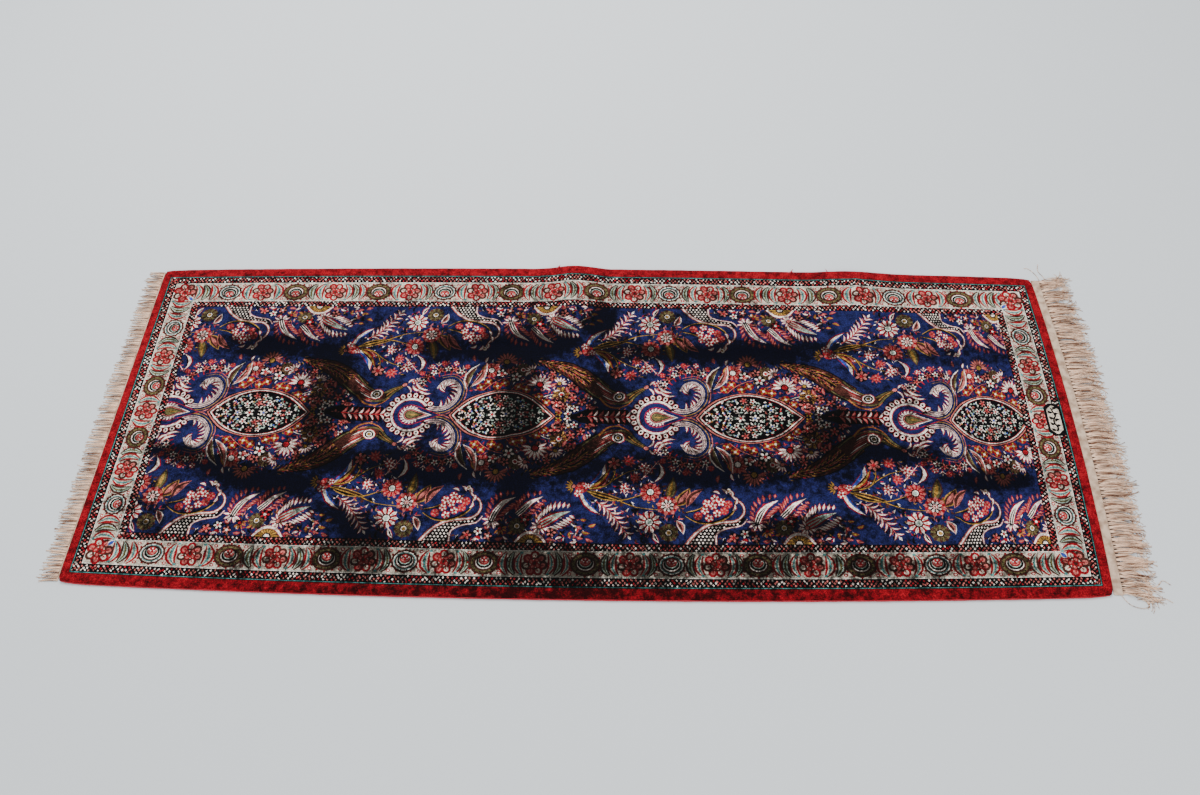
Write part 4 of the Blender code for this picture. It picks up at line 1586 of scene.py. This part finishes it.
def make_edge_knots(material):
    """Knots of the red silk that have worked loose at the far edge, each with its end standing out."""
    lines = []
    for x, tip in ((466, (4, 7)), (548, (-3, 10)), (-70, (3, 4)), (604, (4, 4))):
        long_end = [(x - 7, -6), (x - 2, -2), (x, 1), (x + tip[0], tip[1])]
        for route in (long_end, [(x + 5, -5), (x + 1, 0), (x - 4, -3)]):
            flat = np.array([(px, SIDE + py) for px, py in route], float)
            heights = FOLDS.under(np.minimum(flat, SIDE)) + 0.0055
            points = [(px, py, z) for (px, py), z in zip(plan(flat), heights)]
            lines.append((points, [1.6, 1.8, 1.4, 0.7][: len(points)]))
    return tube("edge_knots", lines, 0.0009, material, 0)


def seated(piece, slot, *nodes):
    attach(piece, "root")
    if nodes:
        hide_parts(*nodes)


class RugSettings(bpy.types.PropertyGroup):
    thickness: bpy.props.FloatProperty(
        name="Thickness", description="From the floor to the top of the pile",
        default=0.0052, min=0.002, unit="LENGTH",
    )
    back_colour: bpy.props.StringProperty(
        name="Back", description="Colour of the underside, as sRGB hex", default="#6E4B4A",
    )
    floor_colour: bpy.props.StringProperty(
        name="Floor", description="Colour of the floor, as sRGB hex", default="#D3D7DA",
    )


class RUG_OT_weave_pile(bpy.types.Operator):
    """Knot the pile in its whole design"""

    bl_idname = "rug.weave_pile"
    bl_label = "Weave pile"

    def execute(self, context):
        for pile in make_pile(context.scene.rug):
            seated(pile, "pile", "rug")
        return {"FINISHED"}


class RUG_OT_bind_sides(bpy.types.Operator):
    """Wrap the edge warps along both long sides"""

    bl_idname = "rug.bind_sides"
    bl_label = "Bind sides"

    def execute(self, context):
        material = selvedge_material()
        for side in ("far", "near"):
            seated(make_selvedge(side, material), "pile")
        seated(make_edge_knots(material), "pile")
        return {"FINISHED"}


class RUG_OT_weave_ends(bpy.types.Operator):
    """Weave the flat strip at each end and lay out its fringe"""

    bl_idname = "rug.weave_ends"
    bl_label = "Weave ends"

    def execute(self, context):
        strip_material = cotton_material("flat_woven_cotton", "#D6BAA2", "#A58872", (60, 60, 60), 420.0)
        # On the fringe yarns the dark colour is painted shade between the strands
        yarn_material = cotton_material("twisted_cotton_warp", "#FFDABC", "#75503E", (22, 300, 120), 260.0)
        # Dark colours for the threads that stand for the shade in the gaps between tassels
        gap_shade_material = cotton_material("painted_gap_shade_wool", "#4A3B35", "#2A211F", (200, 200, 200), 300.0)
        for end, outwards, fringe in ends():
            node = end + "_fringe"
            seated(make_kilim_end(end, outwards, fringe, strip_material), "warp", node)
            seated(make_yarns(end, outwards, fringe, yarn_material), "warp", node)
        # Dark threads as painted shade in the gaps between the right end's tassels
        seated(make_gap_shade_threads("right", *ends()[1][1:], gap_shade_material), "warp")
        seated(make_loose_threads(yarn_material), "warp")
        return {"FINISHED"}


# The photograph's frame is 1200 by 795 pixels, and its focal length is 900 of them
FRAME_WIDTH = 1200
FOCAL_PIXELS = 900
CAMERA_AT = (0.1179, -0.9319, 1.6532)
CAMERA_YAW, CAMERA_PITCH, CAMERA_ROLL = 0.08362, 1.03534, -0.05976


def add_area(name, at, size, power, look_at=(0, 0, 0)):
    data = bpy.data.lights.new(name, "AREA")
    data.shape = "RECTANGLE"
    data.size, data.size_y = size
    data.energy = power
    lamp = bpy.data.objects.new(name, data)
    lamp.location = at
    lamp.rotation_euler = (Vector(look_at) - Vector(at)).to_track_quat("-Z", "Y").to_euler()
    bpy.context.scene.collection.objects.link(lamp)


class RUG_OT_set_stage(bpy.types.Operator):
    """Lay the floor and set the lights and the camera"""

    bl_idname = "rug.set_stage"
    bl_label = "Set stage"

    def execute(self, context):
        scene = context.scene
        bpy.ops.mesh.primitive_plane_add(size=14, location=(0, 0, 0))
        floor = context.object
        floor.name = "floor"
        material, tree = new_material("matt_painted_board")
        shader = add_node(
            tree, "ShaderNodeBsdfPrincipled", None, {"Roughness": 0.95, "Specular IOR Level": 0.1},
        )
        shader.inputs["Base Color"].default_value = [*linear(scene.rug.floor_colour), 1]
        finish_material(tree, shader)
        floor.data.materials.append(material)
        world = bpy.data.worlds.new("studio")
        world.use_nodes = True
        background = world.node_tree.nodes["Background"]
        background.inputs["Color"].default_value = (0.95, 0.98, 1.0, 1)
        background.inputs["Strength"].default_value = 1.0
        scene.world = world
        add_area("window_light", (-0.6, 1.9, 2.6), (3.0, 1.6), 117)
        add_area("fill_light", (1.2, -2.2, 2.2), (2.6, 1.6), 38)
        data = bpy.data.cameras.new("camera")
        data.sensor_width = 36
        data.lens = 36 * FOCAL_PIXELS / FRAME_WIDTH
        camera = bpy.data.objects.new("camera", data)
        scene.collection.objects.link(camera)
        camera.matrix_world = Matrix.Translation(CAMERA_AT) @ camera_turn()
        scene.camera = camera
        return {"FINISHED"}


def camera_turn():
    """The camera's attitude from its yaw, its pitch below level and its roll."""
    yaw, pitch, roll = CAMERA_YAW, CAMERA_PITCH, CAMERA_ROLL
    ahead = Vector((-math.sin(yaw) * math.cos(pitch), math.cos(yaw) * math.cos(pitch), -math.sin(pitch)))
    level = Vector((math.cos(yaw), math.sin(yaw), 0))
    up = level.cross(ahead)
    right = math.cos(roll) * level + math.sin(roll) * up
    top = -math.sin(roll) * level + math.cos(roll) * up
    return Matrix((right, top, -ahead)).transposed().to_4x4()


class RUG_PT_panel(bpy.types.Panel):
    bl_label = "Persian rug"
    bl_space_type = "VIEW_3D"
    bl_region_type = "UI"
    bl_category = "Rug"

    def draw(self, context):
        settings = context.scene.rug
        for name in ("thickness", "back_colour", "floor_colour"):
            self.layout.prop(settings, name)
        for operator in OPERATORS:
            self.layout.operator(operator.bl_idname)


OPERATORS = (RUG_OT_weave_pile, RUG_OT_bind_sides, RUG_OT_weave_ends, RUG_OT_set_stage)
CLASSES = (RugSettings, *OPERATORS, RUG_PT_panel)


def register():
    for cls in CLASSES:
        bpy.utils.register_class(cls)
    bpy.types.Scene.rug = bpy.props.PointerProperty(type=RugSettings)


def unregister():
    del bpy.types.Scene.rug
    for cls in reversed(CLASSES):
        bpy.utils.unregister_class(cls)


def main():
    register()
    bpy.ops.object.select_all(action="DESELECT")
    bpy.ops.rug.set_stage()
    bpy.ops.rug.weave_pile()
    bpy.ops.rug.bind_sides()
    bpy.ops.rug.weave_ends()


if __name__ == "__main__":
    main()
